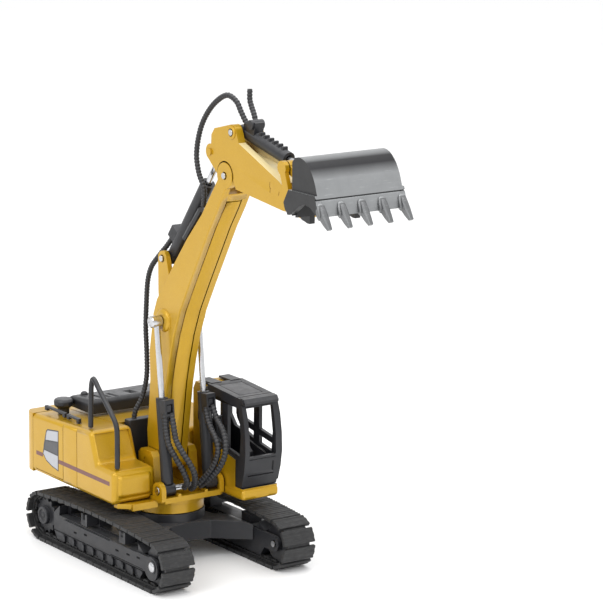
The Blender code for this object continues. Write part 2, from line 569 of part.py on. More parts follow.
def build_stick():
    outline = circle(STICK_CYL_EYE, 3.0, 7, 250, -170)
    outline += [(38.4, 168.6), (40.4, 171.2)] + circle(BUCKET_CYL_FOOT, 2.9, 6, 95, -70)
    outline += [(56.2, 167.9), (81.5, 158.2), (90.0, 153.9)] + circle(STICK_TIP, 2.6, 7, 60, -130)
    outline += [(84.4, 147.9), (66.7, 149.7), (53.0, 151.0)] + circle(STICK_PIVOT, 4.4, 6, 300, -110)
    stick = extrude("stick_arm", outline, -STICK_HALF, STICK_HALF)
    cheeks = [disc("cheek", STICK_PIVOT, 5.4, low, high, 24) for low, high in both_sides(3.3, 20)]
    notches = [disc("notch", STICK_CYL_EYE, 4.0, -2.5, 2.5, 20),
               disc("notch", BUCKET_CYL_FOOT, 4.3, -2.9, 2.9, 20)]
    rod_path = [(34.0, 164.0), (38.2, 163.4), (43.2, 151.6), (42.0, 146.0), (28.0, 146.0), (30.0, 156.0)]
    notches.append(extrude("rod_path", rod_path, -2.5, 2.5))
    heel = [(50.0, 147.0), (54.4, 147.0), (54.4, 151.2), (52.9, 153.6), (50.0, 153.6)]
    heels = [extrude("heel", heel, low, high) for low, high in both_sides(3.3, 20)]
    bores = [bore(centre) for centre in (STICK_PIVOT, BUCKET_CYL_FOOT, ROCKER_PIVOT, STICK_TIP)]
    channel = extrude("channel", [(44.0, 174.0), (44.6, 168.0), (56.0, 163.6), (80.0, 160.0), (100, 170),
                                  (60, 180)], -2.9, 2.9)
    heads = [disc("head", STICK_CYL_EYE, PIN_R, low, high, 14) for low, high in both_sides(5.0, 6.6)]
    finish(union(cut(stick, *cheeks, *notches, *heels, channel, *bores), *heads), YELLOW, STICK_PIVOT)
    pins = (("bucket_cylinder_pin", BUCKET_CYL_FOOT, 6.6), ("rocker_pin", ROCKER_PIVOT, 8.6),
            ("stick_tip_pin", STICK_TIP, 9.1))
    for name, centre, half in pins:
        finish(disc(name, centre, PIN_R, -half, half, 14), CHROME, STICK_PIVOT, True)


def cylinder_barrel(name, foot, eye, y, radius, length, rod_r, eye_half, pivot, block):
    """Barrel with a foot eye, a blind bore for the rod and a hose block near one end."""
    barrel = union(rod(name, foot, eye, radius, 16, y, 2.2, length),
                   disc("eye", foot, radius, y - eye_half, y + eye_half, 16))
    at, size, drop = block
    reach = math.dist(foot, eye)
    centre = mid(foot, eye, at / reach)
    along = Vector((eye[0] - foot[0], eye[1] - foot[1])).normalized()
    out = Vector((along.y, -along.x)) * drop
    corners = [Vector(centre) - along * size - out * 0.1, Vector(centre) - along * size + out,
               Vector(centre) + along * size + out, Vector(centre) + along * size - out * 0.1]
    barrel = union(barrel, extrude("block", [tuple(c) for c in corners], y - 2.0, y + 2.0))
    blind = rod("bore", foot, eye, rod_r + GAP, 12, y, 4.4, reach + 10)
    shaft = FOOT_SHAFT_R if foot == CYL_FOOT else PIN_R
    barrel = cut(barrel, blind, disc("bore", foot, shaft + GAP, y - 9, y + 9, 10))
    return finish(barrel, BLACK, pivot, True)


def cylinder_rod(name, foot, eye, y, radius, start, eye_half, head=0):
    """Rod with an eye at its end; head is +1 or -1 for a pin head on that side of the eye, or 0."""
    body = union(rod(name, foot, eye, radius, 12, y, start, math.dist(foot, eye) - 0.8),
                 disc("eye", eye, 2.1, y - eye_half, y + eye_half, 16))
    if head:
        cap = sorted((y + head * (eye_half - 0.1), y + head * (eye_half + 0.8)))
        body = union(body, disc("head", eye, 1.5, cap[0], cap[1], 12))
    return finish(body, CHROME, eye, True)


def build_cylinders():
    for side, tag in ((-1, "right"), (1, "left")):
        y = side * CYL_Y
        cylinder_barrel(f"boom_barrel_{tag}", CYL_FOOT, CYL_EYE, y, 2.35, 35.0, 1.15, 2.35, CYL_FOOT,
                        (31.0, 3.6, 5.2))
        cylinder_rod(f"boom_rod_{tag}", CYL_FOOT, CYL_EYE, y, 1.15, 19.0, 1.4, side)
    cylinder_barrel("stick_barrel", STICK_CYL_FOOT, STICK_CYL_EYE, 0.0, 2.7, 39.7, 1.2, 2.6, STICK_CYL_FOOT,
                    (9.0, 2.6, -6.0))
    cylinder_rod("stick_rod", STICK_CYL_FOOT, STICK_CYL_EYE, 0.0, 1.2, 13.0, 2.2)
    cylinder_barrel("bucket_barrel", BUCKET_CYL_FOOT, LINK_PIN, 0.0, 2.5, 28.6, 1.1, 2.5, BUCKET_CYL_FOOT,
                    (5.0, 3.4, -6.2))
    cylinder_rod("bucket_rod", BUCKET_CYL_FOOT, LINK_PIN, 0.0, 1.1, 9.0, 2.4)


def bar(name, a, b, width, low, high, bulge_a, bulge_b):
    """A flat link: a bar with a round boss at each end."""
    along = Vector((b[0] - a[0], b[1] - a[1])).normalized()
    side = Vector((-along.y, along.x)) * width / 2
    start, end = Vector(a), Vector(b)
    corners = [start + side, start - side, end - side, end + side]
    body = extrude(name, [tuple(corner) for corner in corners], low, high)
    return union(body, disc("boss", a, bulge_a, low, high, 12), disc("boss", b, bulge_b, low, high, 12))


def build_linkage():
    plates = [bar("rocker_link", ROCKER_PIVOT, LINK_PIN, 3.2, low, high, 2.5, 2.6)
              for low, high in both_sides(6.2, 7.9)]
    rocker = union(plates[0], disc("web", mid(ROCKER_PIVOT, LINK_PIN, 0.5), 1.2, -7.0, 7.0, 14), plates[1],
                   *[disc("tube", LINK_PIN, 1.5, low, high, 14) for low, high in both_sides(2.7, 7.0)])
    rocker = cut(rocker, bore(ROCKER_PIVOT))
    rocker.name = "rocker_link"
    finish(rocker, YELLOW, ROCKER_PIVOT)
    sides = [bar("h_link", LINK_PIN, COUPLER_LINK, 3.0, low, high, 2.5, 2.4)
             for low, high in both_sides(3.3, 5.7)]
    centre = mid(LINK_PIN, COUPLER_LINK, 0.55)
    along = Vector((COUPLER_LINK[0] - LINK_PIN[0], COUPLER_LINK[1] - LINK_PIN[1])).normalized()
    across = Vector((-along.y, along.x))
    web = [tuple(Vector(centre) + along * a * 1.7 + across * b * 1.2)
           for a, b in ((-1, -1), (1, -1), (1, 1), (-1, 1))]
    link = union(sides[0], extrude("web", web, -4.0, 4.0), sides[1])
    link = cut(link, disc("bore", LINK_PIN, 1.5 + GAP, -20, 20, 10))
    link.name = "h_link"
    finish(link, YELLOW, LINK_PIN)


def build_coupler():
    outline = circle(STICK_TIP, 2.7, 7, 190, 130) + circle(BUCKET_PINS[0], 2.4, 5, -60, 70)
    outline += circle(BUCKET_PINS[1], 2.4, 5, 0, 70) + circle(COUPLER_LINK, 2.5, 6, 70, 120)
    plates = [extrude("coupler", outline, low, high) for low, high in both_sides(6.3, 8.3)]
    hook = [(101.6, 153.2), (104.6, 153.8), (106.4, 155.4), (104.2, 157.4), (101.8, 157.0)]
    bridge = extrude("bridge", hook, -6.5, 6.5)
    stubs = [disc("stub", COUPLER_LINK, 1.3, low, high, 14) for low, high in both_sides(6.0, 8.9)]
    coupler = union(plates[0], bridge, plates[1], *stubs)
    coupler = cut(coupler, bore(STICK_TIP), *[bore(pin) for pin in BUCKET_PINS])
    coupler.name = "coupler"
    finish(coupler, YELLOW, STICK_TIP)
    for name, pin in zip(("bucket_pin_lower", "bucket_pin_upper"), BUCKET_PINS):
        finish(disc(name, pin, PIN_R, -11.4, 11.4, 14), CHROME, STICK_TIP, True)


def build_bucket():
    back = 107.5
    curve = [(back, 170.0), (109.2, 171.7), (111.4, 172.2), (114.6, 171.6), (117.4, 169.8), (119.8, 167.0),
             (121.6, 163.6), (122.9, 159.4), (123.7, 155.6), (124.2, 153.2)]
    outer = [(back, 149.0)] + curve
    bucket = extrude("bucket", outer, -BUCKET_HALF, BUCKET_HALF)
    wall = BUCKET_WALL
    inner = [(back + wall, 140.0), (back + wall, 168.9), (109.8, 170.3), (111.4, 170.7), (114.0, 170.2),
             (116.5, 168.6), (118.6, 166.1), (120.3, 163.0), (121.5, 159.0), (122.3, 155.4), (123.0, 152.6),
             (125.0, 140.0)]
    bucket = cut(bucket, extrude("hollow", inner, -BUCKET_HALF + wall, BUCKET_HALF - wall))
    ear = [(108.0, 147.6), (108.0, 163.0), (106.4, 163.6)] + circle(BUCKET_PINS[1], 3.2, 5, 90, 80)
    ear += circle(BUCKET_PINS[0], 3.2, 5, 190, 80) + [(106.4, 147.6)]
    ears = [extrude("ear", ear, low, high) for low, high in both_sides(8.6, 10.8)]
    bucket = union(bucket, *ears)
    teeth = []
    for k in range(5):
        y = (k - 2) * 8.6
        bm = bmesh.new()
        rings = []
        for x, z, w, t in ((121.6, 157.4, 1.6, 1.1), (124.6, 153.0, 1.6, 1.1), (129.7, 149.2, 0.8, 0.3)):
            rings.append([bm.verts.new((x + dx * t * 0.66, y + dy * w, z + dx * t * 0.75))
                          for dx, dy in ((-1, -1), (1, -1), (1, 1), (-1, 1))])
        bm.faces.new(rings[0])
        bm.faces.new(rings[2][::-1])
        for first, second in zip(rings, rings[1:]):
            for i in range(4):
                j = (i + 1) % 4
                bm.faces.new((first[i], second[i], second[j], first[j]))
        teeth.append(new_object("tooth", bm))
    bucket = union(bucket, *teeth)
    bucket = cut(bucket, *[bore(pin) for pin in BUCKET_PINS])
    finish(bucket, STEEL, STICK_TIP)


# ---------------------------------------------------------------- hoses
def build_hoses():
    """Hoses lie along fixed routes; each ends just clear of the block or fitting it belongs to."""
    tip_right = [(31.0, -4.4, 140.8), (32.2, -4.8, 144.4), (31.6, -4.8, 148.2), (28.4, -4.8, 153.0),
                 (26.6, -4.6, 159.6), (28.3, -4.4, 167.8), (31.5, -3.8, 174.3), (37.0, -3.2, 180.0),
                 (43.6, -2.6, 183.4), (48.4, -1.8, 181.8), (51.0, -1.6, 178.2), (52.2, -1.5, 175.6)]
    tip_left = [(55.2, 1.5, 177.6), (53.4, 1.6, 180.0), (52.0, 1.7, 182.6), (51.8, 1.8, 186.4)]
    tube("tip_hose_right", tip_right, HOSE_R, 22, BLACK, BOOM_FOOT)
    tube("tip_hose_left", tip_left, HOSE_R, 8, BLACK, BUCKET_CYL_FOOT)
    main_hose = [(3.9, -0.6, 123.7), (1.2, -1.4, 120.4), (-2.8, -2.4, 116.0), (-7.0, -3.0, 111.2),
                 (-9.6, -3.0, 105.6), (-10.6, -3.0, 98.0), (-11.2, -3.0, 87.0), (-10.2, -3.2, 77.0),
                 (-9.4, -3.8, 68.0), (-10.2, -5.2, 60.0), (-11.6, -7.4, 54.6), (-11.9, -8.0, 53.0)]
    tube("stick_cylinder_hose", main_hose, HOSE_R, 22, BLACK, BOOM_FOOT)

    # Mouldings of two strands each, held together by their clips
    for side, tag in ((-1, "right"), (1, "left")):
        strands = []
        for shift, low in ((0.0, 3.2), (-3.1, 0.9)):
            y = side * (9.6 + shift / 2)
            bends = ((16.6, y, 57.2), (18.0, y, 53.0), (20.0, y - side * 0.5, 47.0),
                     (22.0, y - side * 1.6, 41.0), (22.0, y - side * 3.4, 36.0),
                     (19.6, side * (low + 1.6), 32.2))
            strands.append(as_mesh(tube("strand", bends, HOSE_R, 12, BLACK)))
        clip = box("clip", (19.4, 21.6), sorted((side * 7.0, side * 9.4)), (44.6, 47.2))
        hose = union(strands[0], clip, strands[1])
        hose.name = f"cylinder_hose_{tag}"
        finish(hose, BLACK, CYL_FOOT)
    run = ((18.9, 126.6), (22.0, 130.4), (25.4, 134.2), (29.6, 139.2))
    pipes = [as_mesh(tube("strand", [(x, y, z) for x, z in run], 1.35, 8, BLACK)) for y in (-4.4, 4.4)]
    clip = extrude("clip", [(23.2, 131.9), (25.2, 134.1), (26.2, 133.2), (24.2, 131.0)], -4.4, 4.4)
    pipes = union(pipes[0], clip, pipes[1])
    pipes.name = "boom_pipes"
    finish(pipes, BLACK, BOOM_FOOT)
    run = ((-2.6, 97.0), (-5.8, 90.0), (-6.4, 80.0), (-6.0, 70.0), (-7.2, 61.0), (-10.8, 55.4),
           (-12.0, 53.0))
    pair = [as_mesh(tube("strand", [(x, y, z) for x, z in run], HOSE_R, 14, BLACK)) for y in (1.0, 4.2)]
    clip = box("clip", (-7.2, -5.6), (1.0, 4.2), (78.0, 81.0))
    pair = union(pair[0], clip, pair[1])
    pair.name = "boom_hose_pair"
    finish(pair, BLACK, BOOM_FOOT)


def main():
    for obj in list(bpy.data.objects):
        bpy.data.objects.remove(obj)
    build_car_body()
    for side, tag in ((-1, "right"), (1, "left")):
        build_track(side, f"track_{tag}")
        build_track_frame(side, f"track_frame_{tag}")
    build_wheels()
    build_turntable()
    build_house()
    build_counterweight()
    build_deck()
    build_hood()
    build_cab()
    build_boom()
    build_stick()
    build_cylinders()
    build_linkage()
    build_coupler()
    build_bucket()
    build_hoses()


main()
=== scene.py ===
import json
import math

import bmesh
import bpy
from mathutils import Matrix, Vector


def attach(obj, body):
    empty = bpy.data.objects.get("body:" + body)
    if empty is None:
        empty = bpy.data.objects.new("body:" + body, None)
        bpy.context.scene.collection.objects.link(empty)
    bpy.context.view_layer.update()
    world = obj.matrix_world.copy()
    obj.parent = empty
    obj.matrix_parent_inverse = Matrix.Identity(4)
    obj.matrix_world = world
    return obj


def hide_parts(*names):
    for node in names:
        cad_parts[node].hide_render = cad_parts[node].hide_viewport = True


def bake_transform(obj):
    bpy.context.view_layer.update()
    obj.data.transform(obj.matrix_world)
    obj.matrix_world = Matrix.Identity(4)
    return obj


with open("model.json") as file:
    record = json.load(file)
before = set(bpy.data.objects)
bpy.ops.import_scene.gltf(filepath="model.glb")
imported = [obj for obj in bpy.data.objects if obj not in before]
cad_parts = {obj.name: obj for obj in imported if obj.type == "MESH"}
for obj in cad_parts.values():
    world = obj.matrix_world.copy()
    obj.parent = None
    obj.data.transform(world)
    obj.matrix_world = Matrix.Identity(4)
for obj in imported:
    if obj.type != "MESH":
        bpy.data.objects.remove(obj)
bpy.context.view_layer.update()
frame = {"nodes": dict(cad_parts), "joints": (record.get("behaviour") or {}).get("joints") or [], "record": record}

MM = 0.001
JOINTS = {joint["name"]: joint for joint in frame["joints"]}
BODY_OF = {node: body for body, nodes in frame["record"]["behaviour"]["bodies"].items() for node in nodes}
SLOT_OF = {part["node"]: part["material_slot"] for part in frame["record"]["subparts"]}
SWING_X = JOINTS["house_swing"]["pos_m"][0] / MM
SIDES = ((-1, "right"), (1, "left"))

# Tracks
TRACK_Y = 27.0
TRACK_R = 9.8          # outer radius of a track round its wheels
WHEEL_X = 40.3
TRACK_SAG = 1.7        # rise of the top run at mid length
FRAME_HALF = 4.6
SHOE_COUNT = 40
PITCH_DEPTH = 3.0      # of the line the shoes are spaced along, below their outer face
CARRIER_X = (-7.5, 20.0)
SHOE_HALF = 7.0
BELT_HALF = 5.0

# Upper structure
HOUSE_HALF = 30.5
HOUSE_REAR = -50.0
PAST_REAR = -54.0      # where the side walls end before they are cut at the counterweight
HOUSE_LOW = 25.1
CHANNEL_Y = 12.0
CAB_Y0, CAB_Y1 = 14.6, 30.5
CAB_WALL = 1.4
BOOM_HALF = 6.25
CYLINDER_Y = 9.3
BUCKET_HALF = 18.0
BORE_R = 1.5

# Reach of a cutter that passes right through or right round the machine's upper part
ACROSS = (-40, 40)
UPRIGHT = (20, 60)


def pivot(name):
    """A joint's axis in the XZ plane of the machine's frame, in millimetres."""
    x, _, z = JOINTS[name]["pos_m"]
    return (x / MM - SWING_X, z / MM)


BOOM_FOOT = pivot("boom_lift")
STICK_PIVOT = pivot("stick_curl")
STICK_CYL_FOOT = pivot("stick_barrel_tilt")
BUCKET_CYL_FOOT = pivot("bucket_barrel_tilt")
STICK_TIP = pivot("bucket_curl")
LINK_PIN = pivot("h_link_tilt")
CYL_EYE = (6.7, 93.4)
BUCKET_PINS = ((104.4, 151.3), (104.3, 159.5))


# ---------------------------------------------------------------- materials
class Paint:
    """A Principled material with small helpers for its node tree; patterns use object coordinates."""

    def __init__(self, name, roughness, metallic=0.0, coat=0.0, specular=0.5):
        self.material = bpy.data.materials.new(name)
        self.material.use_nodes = True
        self.nodes = self.material.node_tree.nodes
        self.links = self.material.node_tree.links
        self.shader = self.nodes["Principled BSDF"]
        self.shader.inputs["Metallic"].default_value = metallic
        self.shader.inputs["Roughness"].default_value = roughness
        self.shader.inputs["Coat Weight"].default_value = coat
        self.shader.inputs["Coat Roughness"].default_value = 0.15
        self.shader.inputs["Specular IOR Level"].default_value = specular
        self.place = self.nodes.new("ShaderNodeTexCoord").outputs["Object"]
        self.bumps = None

    def noise(self, size_mm, detail=3.0, rough=0.55, stretch=None):
        """Noise whose features are about size_mm across; stretch scales the coordinates along each axis."""
        place = self.place
        if stretch:
            mapping = self.nodes.new("ShaderNodeMapping")
            mapping.inputs["Scale"].default_value = stretch
            self.links.new(place, mapping.inputs["Vector"])
            place = mapping.outputs["Vector"]
        node = self.nodes.new("ShaderNodeTexNoise")
        node.inputs["Scale"].default_value = 1.0 / (size_mm * MM)
        node.inputs["Detail"].default_value = detail
        node.inputs["Roughness"].default_value = rough
        self.links.new(place, node.inputs["Vector"])
        return node.outputs["Fac"]

    def cells(self, size_mm):
        """Random grey cells of a given size, as metallic flakes or grit are."""
        node = self.nodes.new("ShaderNodeTexVoronoi")
        node.inputs["Scale"].default_value = 1.0 / (size_mm * MM)
        self.links.new(self.place, node.inputs["Vector"])
        return node.outputs["Color"]

    def remap(self, value, low, high, to_low=0.0, to_high=1.0):
        node = self.nodes.new("ShaderNodeMapRange")
        for key, number in (("From Min", low), ("From Max", high), ("To Min", to_low), ("To Max", to_high)):
            node.inputs[key].default_value = number
        self.links.new(value, node.inputs["Value"])
        return node.outputs["Result"]

    def multiply(self, first, second):
        node = self.nodes.new("ShaderNodeMath")
        node.operation = "MULTIPLY"
        self.links.new(first, node.inputs[0])
        self.links.new(second, node.inputs[1])
        return node.outputs[0]

    def mix(self, factor, first, second):
        """Mix of two colours, each a triple or a socket."""
        node = self.nodes.new("ShaderNodeMix")
        node.data_type = "RGBA"
        self.links.new(factor, node.inputs[0])
        for socket, colour in ((node.inputs[6], first), (node.inputs[7], second)):
            if isinstance(colour, tuple):
                socket.default_value = (*colour, 1.0)
            else:
                self.links.new(colour, socket)
        return node.outputs[2]

    def corner_shade(self, reach_mm):
        """Painted shade: 1 in tight inner corners and gaps, found by ambient occlusion, 0 on open faces."""
        node = self.nodes.new("ShaderNodeAmbientOcclusion")
        node.samples = 4
        node.inputs["Distance"].default_value = reach_mm * MM
        return self.remap(node.outputs["AO"], 0.75, 0.25)

    def upward(self):
        """1 on faces that look up, 0 on faces that look sideways or down."""
        node = self.nodes.new("ShaderNodeNewGeometry")
        split = self.nodes.new("ShaderNodeSeparateXYZ")
        self.links.new(node.outputs["Normal"], split.inputs["Vector"])
        return self.remap(split.outputs["Z"], 0.35, 1.0)

    def colour(self, socket):
        self.links.new(socket, self.shader.inputs["Base Color"])

    def rough(self, value, low, high):
        self.links.new(self.remap(value, 0.3, 0.7, low, high), self.shader.inputs["Roughness"])

    def bump(self, height, depth_mm, strength=0.5):
        """Relief of about depth_mm, laid over any relief given before."""
        node = self.nodes.new("ShaderNodeBump")
        node.inputs["Distance"].default_value = depth_mm * MM
        node.inputs["Strength"].default_value = strength
        self.links.new(height, node.inputs["Height"])
        if self.bumps:
            self.links.new(self.bumps, node.inputs["Normal"])
        self.bumps = node.outputs["Normal"]
        self.links.new(self.bumps, self.shader.inputs["Normal"])


def yellow_paint():
    """Golden enamel with fine metal flake, orange peel and painted shade that darkens it in the corners."""
    paint = Paint("yellow_enamel", 0.34, metallic=0.35, coat=0.3)
    tone = paint.mix(paint.noise(14.0), (0.465, 0.262, 0.003), (0.525, 0.305, 0.005))
    flake = paint.mix(paint.remap(paint.cells(0.16), 0.72, 1.0, 0.0, 0.35), tone, (0.76, 0.50, 0.02))
    rubs = paint.remap(paint.noise(3.0, 6.0, 0.7), 0.66, 0.74, 0.0, 0.18)
    worn = paint.mix(rubs, flake, (0.38, 0.20, 0.03))
    # painted shade: dark brown in tight corners and gaps
    paint.colour(paint.mix(paint.corner_shade(1.4), worn, (0.13, 0.050, 0.006)))
    paint.rough(paint.noise(5.0, 5.0), 0.29, 0.42)
    paint.bump(paint.noise(1.1, 2.0), 0.020, 0.35)
    paint.bump(paint.cells(0.16), 0.004, 0.25)
    return paint.material


def black_plastic(name, base, lift, grain):
    """Moulded satin plastic: fine grain, a colour that drifts from base to lift, pale dust on top, and painted
    shade in the corners.
    """
    paint = Paint(name, 0.42, specular=0.42)
    tone = paint.mix(paint.noise(9.0), base, lift)
    dust = paint.multiply(paint.upward(), paint.remap(paint.noise(2.2, 6.0, 0.7), 0.35, 0.75, 0.35, 1.0))
    dusty = paint.mix(dust, tone, (0.105, 0.106, 0.112))
    # painted shade: near black in tight corners and gaps
    paint.colour(paint.mix(paint.corner_shade(1.2), dusty, (0.005, 0.005, 0.006)))
    paint.rough(paint.noise(3.5, 5.0), 0.32, 0.48)
    paint.bump(paint.noise(grain, 3.0), 0.018, 0.45)
    paint.bump(paint.noise(2.5, 2.0), 0.030, 0.25)
    return paint.material


def track_rubber():
    """Matt moulded rubber, scuffed grey on the ridges, with painted shade in the grooves."""
    paint = Paint("track_rubber", 0.6, specular=0.4)
    tone = paint.mix(paint.noise(6.0, 5.0), (0.016, 0.016, 0.0165), (0.027, 0.027, 0.028))
    scuff = paint.remap(paint.noise(0.9, 5.0, 0.75, stretch=(1.0, 0.35, 1.0)), 0.50, 0.72, 0.0, 0.55)
    scuffed = paint.mix(scuff, tone, (0.062, 0.062, 0.063))
    # painted shade: near black in the grooves and gaps
    paint.colour(paint.mix(paint.corner_shade(0.9), scuffed, (0.004, 0.004, 0.004)))
    paint.rough(paint.noise(2.0, 5.0), 0.46, 0.66)
    paint.bump(paint.noise(0.22, 3.0), 0.030, 0.5)
    return paint.material


def chrome():
    """Plated steel with fine turning marks and faint smears."""
    paint = Paint("plated_steel", 0.16, metallic=1.0)
    paint.colour(paint.mix(paint.noise(2.5, 4.0), (0.46, 0.465, 0.48), (0.64, 0.645, 0.66)))
    paint.rough(paint.noise(1.2, 6.0, 0.7), 0.12, 0.30)
    paint.bump(paint.noise(0.30, 4.0, stretch=(1.0, 0.15, 0.3)), 0.006, 0.5)
    return paint.material


def bucket_steel(name, low, high):
    """Grey metallic enamel, rubbed bright in scratches, with a painted dark reflection as a band along the crown
    and painted shade in the corners.
    """
    paint = Paint(name, 0.36, metallic=0.7, coat=0.1)
    tone = paint.mix(paint.noise(7.0, 5.0), low, high)
    scratch = paint.remap(paint.noise(0.55, 6.0, 0.72, stretch=(1.0, 0.10, 1.0)), 0.58, 0.70, 0.0, 0.5)
    rubbed = paint.mix(scratch, tone, (0.50, 0.51, 0.52))
    chips = paint.remap(paint.noise(0.8, 5.0, 0.7), 0.69, 0.74, 0.0, 0.75)
    worn = paint.mix(chips, rubbed, (0.10, 0.10, 0.105))
    # painted reflection: a near-black band across the crown between fixed heights stands in for the dark
    # reflection there
    split = paint.nodes.new("ShaderNodeSeparateXYZ")
    paint.links.new(paint.place, split.inputs["Vector"])
    height = split.outputs["Z"]
    fade_in, fade_out = (0.1655, 0.1690), (0.1722, 0.1708)    # heights of the band's two edges, in metres
    dark_reflection_band = paint.multiply(paint.remap(height, *fade_in), paint.remap(height, *fade_out))
    with_dark_reflection = paint.mix(dark_reflection_band, worn, (0.030, 0.030, 0.032))
    # painted shade: darker in tight corners and gaps
    paint.colour(paint.mix(paint.corner_shade(1.0), with_dark_reflection, (0.02, 0.02, 0.021)))
    paint.rough(paint.noise(1.6, 6.0, 0.7), 0.28, 0.48)
    paint.bump(paint.noise(0.6, 5.0, 0.7, stretch=(1.0, 0.3, 1.0)), 0.018, 0.45)
    return paint.material


def red_lens():
    """Glossy printed red with a faint ribbing."""
    paint = Paint("red_lens", 0.25, coat=0.6)
    paint.colour(paint.mix(paint.noise(2.0), (0.62, 0.030, 0.018), (0.78, 0.050, 0.028)))
    paint.rough(paint.noise(1.0, 3.0), 0.18, 0.32)
    paint.bump(paint.noise(0.5, 1.0, stretch=(1.0, 1.0, 0.2)), 0.03, 0.4)
    return paint.material


def print_ink(name, dark, light):
    """Flat printed film with an uneven edge-to-edge tone."""
    paint = Paint(name, 0.38, coat=0.2)
    paint.colour(paint.mix(paint.noise(1.6, 5.0, 0.65), dark, light))
    paint.rough(paint.noise(0.8, 4.0), 0.30, 0.48)
    paint.bump(paint.noise(0.25, 2.0), 0.006, 0.3)
    return paint.material


YELLOW = yellow_paint()
BLACK = black_plastic("black_plastic", (0.0125, 0.0130, 0.0155), (0.020, 0.0205, 0.024), 0.28)
HOSE = black_plastic("hose_plastic", (0.012, 0.012, 0.0135), (0.022, 0.022, 0.0245), 0.5)
# pale cream used as painted light inside the stick's channel
PAINTED_LIGHT = print_ink("painted_light_enamel", (0.74, 0.60, 0.30), (0.80, 0.67, 0.36))
TOOTH = bucket_steel("tooth_enamel", (0.12, 0.123, 0.126), (0.22, 0.225, 0.23))
# near-black enamel that paints shade and dark reflection on the bucket
PAINTED_SHADE = black_plastic("painted_shade_enamel", (0.009, 0.009, 0.0095), (0.017, 0.017, 0.018), 0.6)
RUBBER = track_rubber()
CHROME = chrome()
STEEL = bucket_steel("bucket_enamel", (0.255, 0.262, 0.268), (0.345, 0.355, 0.362))
RED = red_lens()
SILVER_FILM = print_ink("silver_film", (0.36, 0.37, 0.40), (0.45, 0.46, 0.49))
GREY_FILM = print_ink("grey_film", (0.040, 0.041, 0.046), (0.062, 0.063, 0.070))
BORDER_FILM = print_ink("border_film", (0.020, 0.020, 0.022), (0.030, 0.030, 0.033))
STRIPE_FILM = print_ink("stripe_film", (0.125, 0.036, 0.028), (0.165, 0.052, 0.038))
PAINTS = {"yellow_paint": YELLOW, "black_plastic": BLACK, "track_rubber": RUBBER, "chrome_pin": CHROME,
          "dark_steel": STEEL, "hose_rubber": HOSE, "red_lens": RED}


# ---------------------------------------------------------------- mesh helpers
def linked(name, data):
    """An object in the scene for a mesh, a camera or a light."""
    obj = bpy.data.objects.new(name, data)
    bpy.context.scene.collection.objects.link(obj)
    return obj


def meshed(name, bm):
    """A linked object from a bmesh in metres, which is freed."""
    mesh = bpy.data.meshes.new(name)
    bm.to_mesh(mesh)
    bm.free()
    return linked(name, mesh)


def solid(name, bm):
    """A linked object from a bmesh given in millimetres of the machine's frame."""
    bmesh.ops.translate(bm, vec=(SWING_X, 0, 0), verts=bm.verts)
    bmesh.ops.scale(bm, vec=(MM, MM, MM), verts=bm.verts)
    bmesh.ops.recalc_face_normals(bm, faces=bm.faces)
    return meshed(name, bm)


def skin(bm, rings):
    """Join each ring of vertices to the next with faces."""
    for first, second in zip(rings, rings[1:]):
        for i, vert in enumerate(first):
            j = (i + 1) % len(first)
            bm.faces.new((vert, second[i], second[j], first[j]))


def cap(bm, rings):
    """Close the two ends of a skin."""
    bm.faces.new(rings[0])
    bm.faces.new(rings[-1][::-1])


def carry(bm, outline, low, high, axis="Y"):
    """Add an outline in XZ carried along Y, in XY along Z, or in YZ along X."""
    order = {"X": (2, 0, 1), "Y": (0, 2, 1), "Z": (0, 1, 2)}[axis]
    rings = [[bm.verts.new([(*point, end)[k] for k in order]) for point in outline] for end in (low, high)]
    cap(bm, rings)
    skin(bm, rings)


def prism(name, outline, low, high, axis="Y"):
    bm = bmesh.new()
    carry(bm, outline, low, high, axis)
    return solid(name, bm)


def block(name, x, y, z):
    return prism(name, [(x[0], z[0]), (x[1], z[0]), (x[1], z[1]), (x[0], z[1])], y[0], y[1])


def arc(centre, radius, count, start=0.0, sweep=360.0):
    """Points on a circle, or on the part of it that starts at one angle and sweeps through another."""
    steps = count if abs(sweep) >= 360 else count - 1
    turns = [math.radians(start + sweep * i / steps) for i in range(count)]
    return [(centre[0] + radius * math.cos(turn), centre[1] + radius * math.sin(turn)) for turn in turns]


def disc(name, centre, radius, low, high, count=28, axis="Y"):
    return prism(name, arc(centre, radius, count), low, high, axis)


def turned(name, profile, centre, start, outward, count=28, axis="Y"):
    """A round piece on an axis along Y or Z: profile points are (radius, distance out from start)."""
    order = {"Y": (0, 2, 1), "Z": (0, 1, 2)}[axis]
    bm = bmesh.new()
    rings = [[bm.verts.new([(*point, start + outward * out)[k] for k in order])
              for point in arc(centre, radius, count)] for radius, out in profile]
    skin(bm, rings)
    cap(bm, rings)
    return solid(name, bm)


def applied(obj):
    """Turn an object's modifiers into mesh."""
    bpy.context.view_layer.update()
    graph = bpy.context.evaluated_depsgraph_get()
    result = bpy.data.meshes.new_from_object(obj.evaluated_get(graph))
    obj.modifiers.clear()
    old = obj.data
    obj.data = result
    bpy.data.meshes.remove(old)
    return obj


def boolean(target, tools, operation):
    """Cut or join a target with each tool in turn; the tools are used up."""
    for tool in tools:
        step = target.modifiers.new("step", "BOOLEAN")
        step.operation = operation
        step.solver = "EXACT"
        step.object = tool
        applied(target)
        bpy.data.objects.remove(tool)
    return target


def cut(target, *tools):
    return boolean(target, tools, "DIFFERENCE")


def union(target, *tools):
    return boolean(target, tools, "UNION")


def gather(name, pieces):
    """Several solids in one object."""
    bm = bmesh.new()
    for item in pieces:
        bm.from_mesh(item.data)
        bpy.data.objects.remove(item)
    return meshed(name, bm)


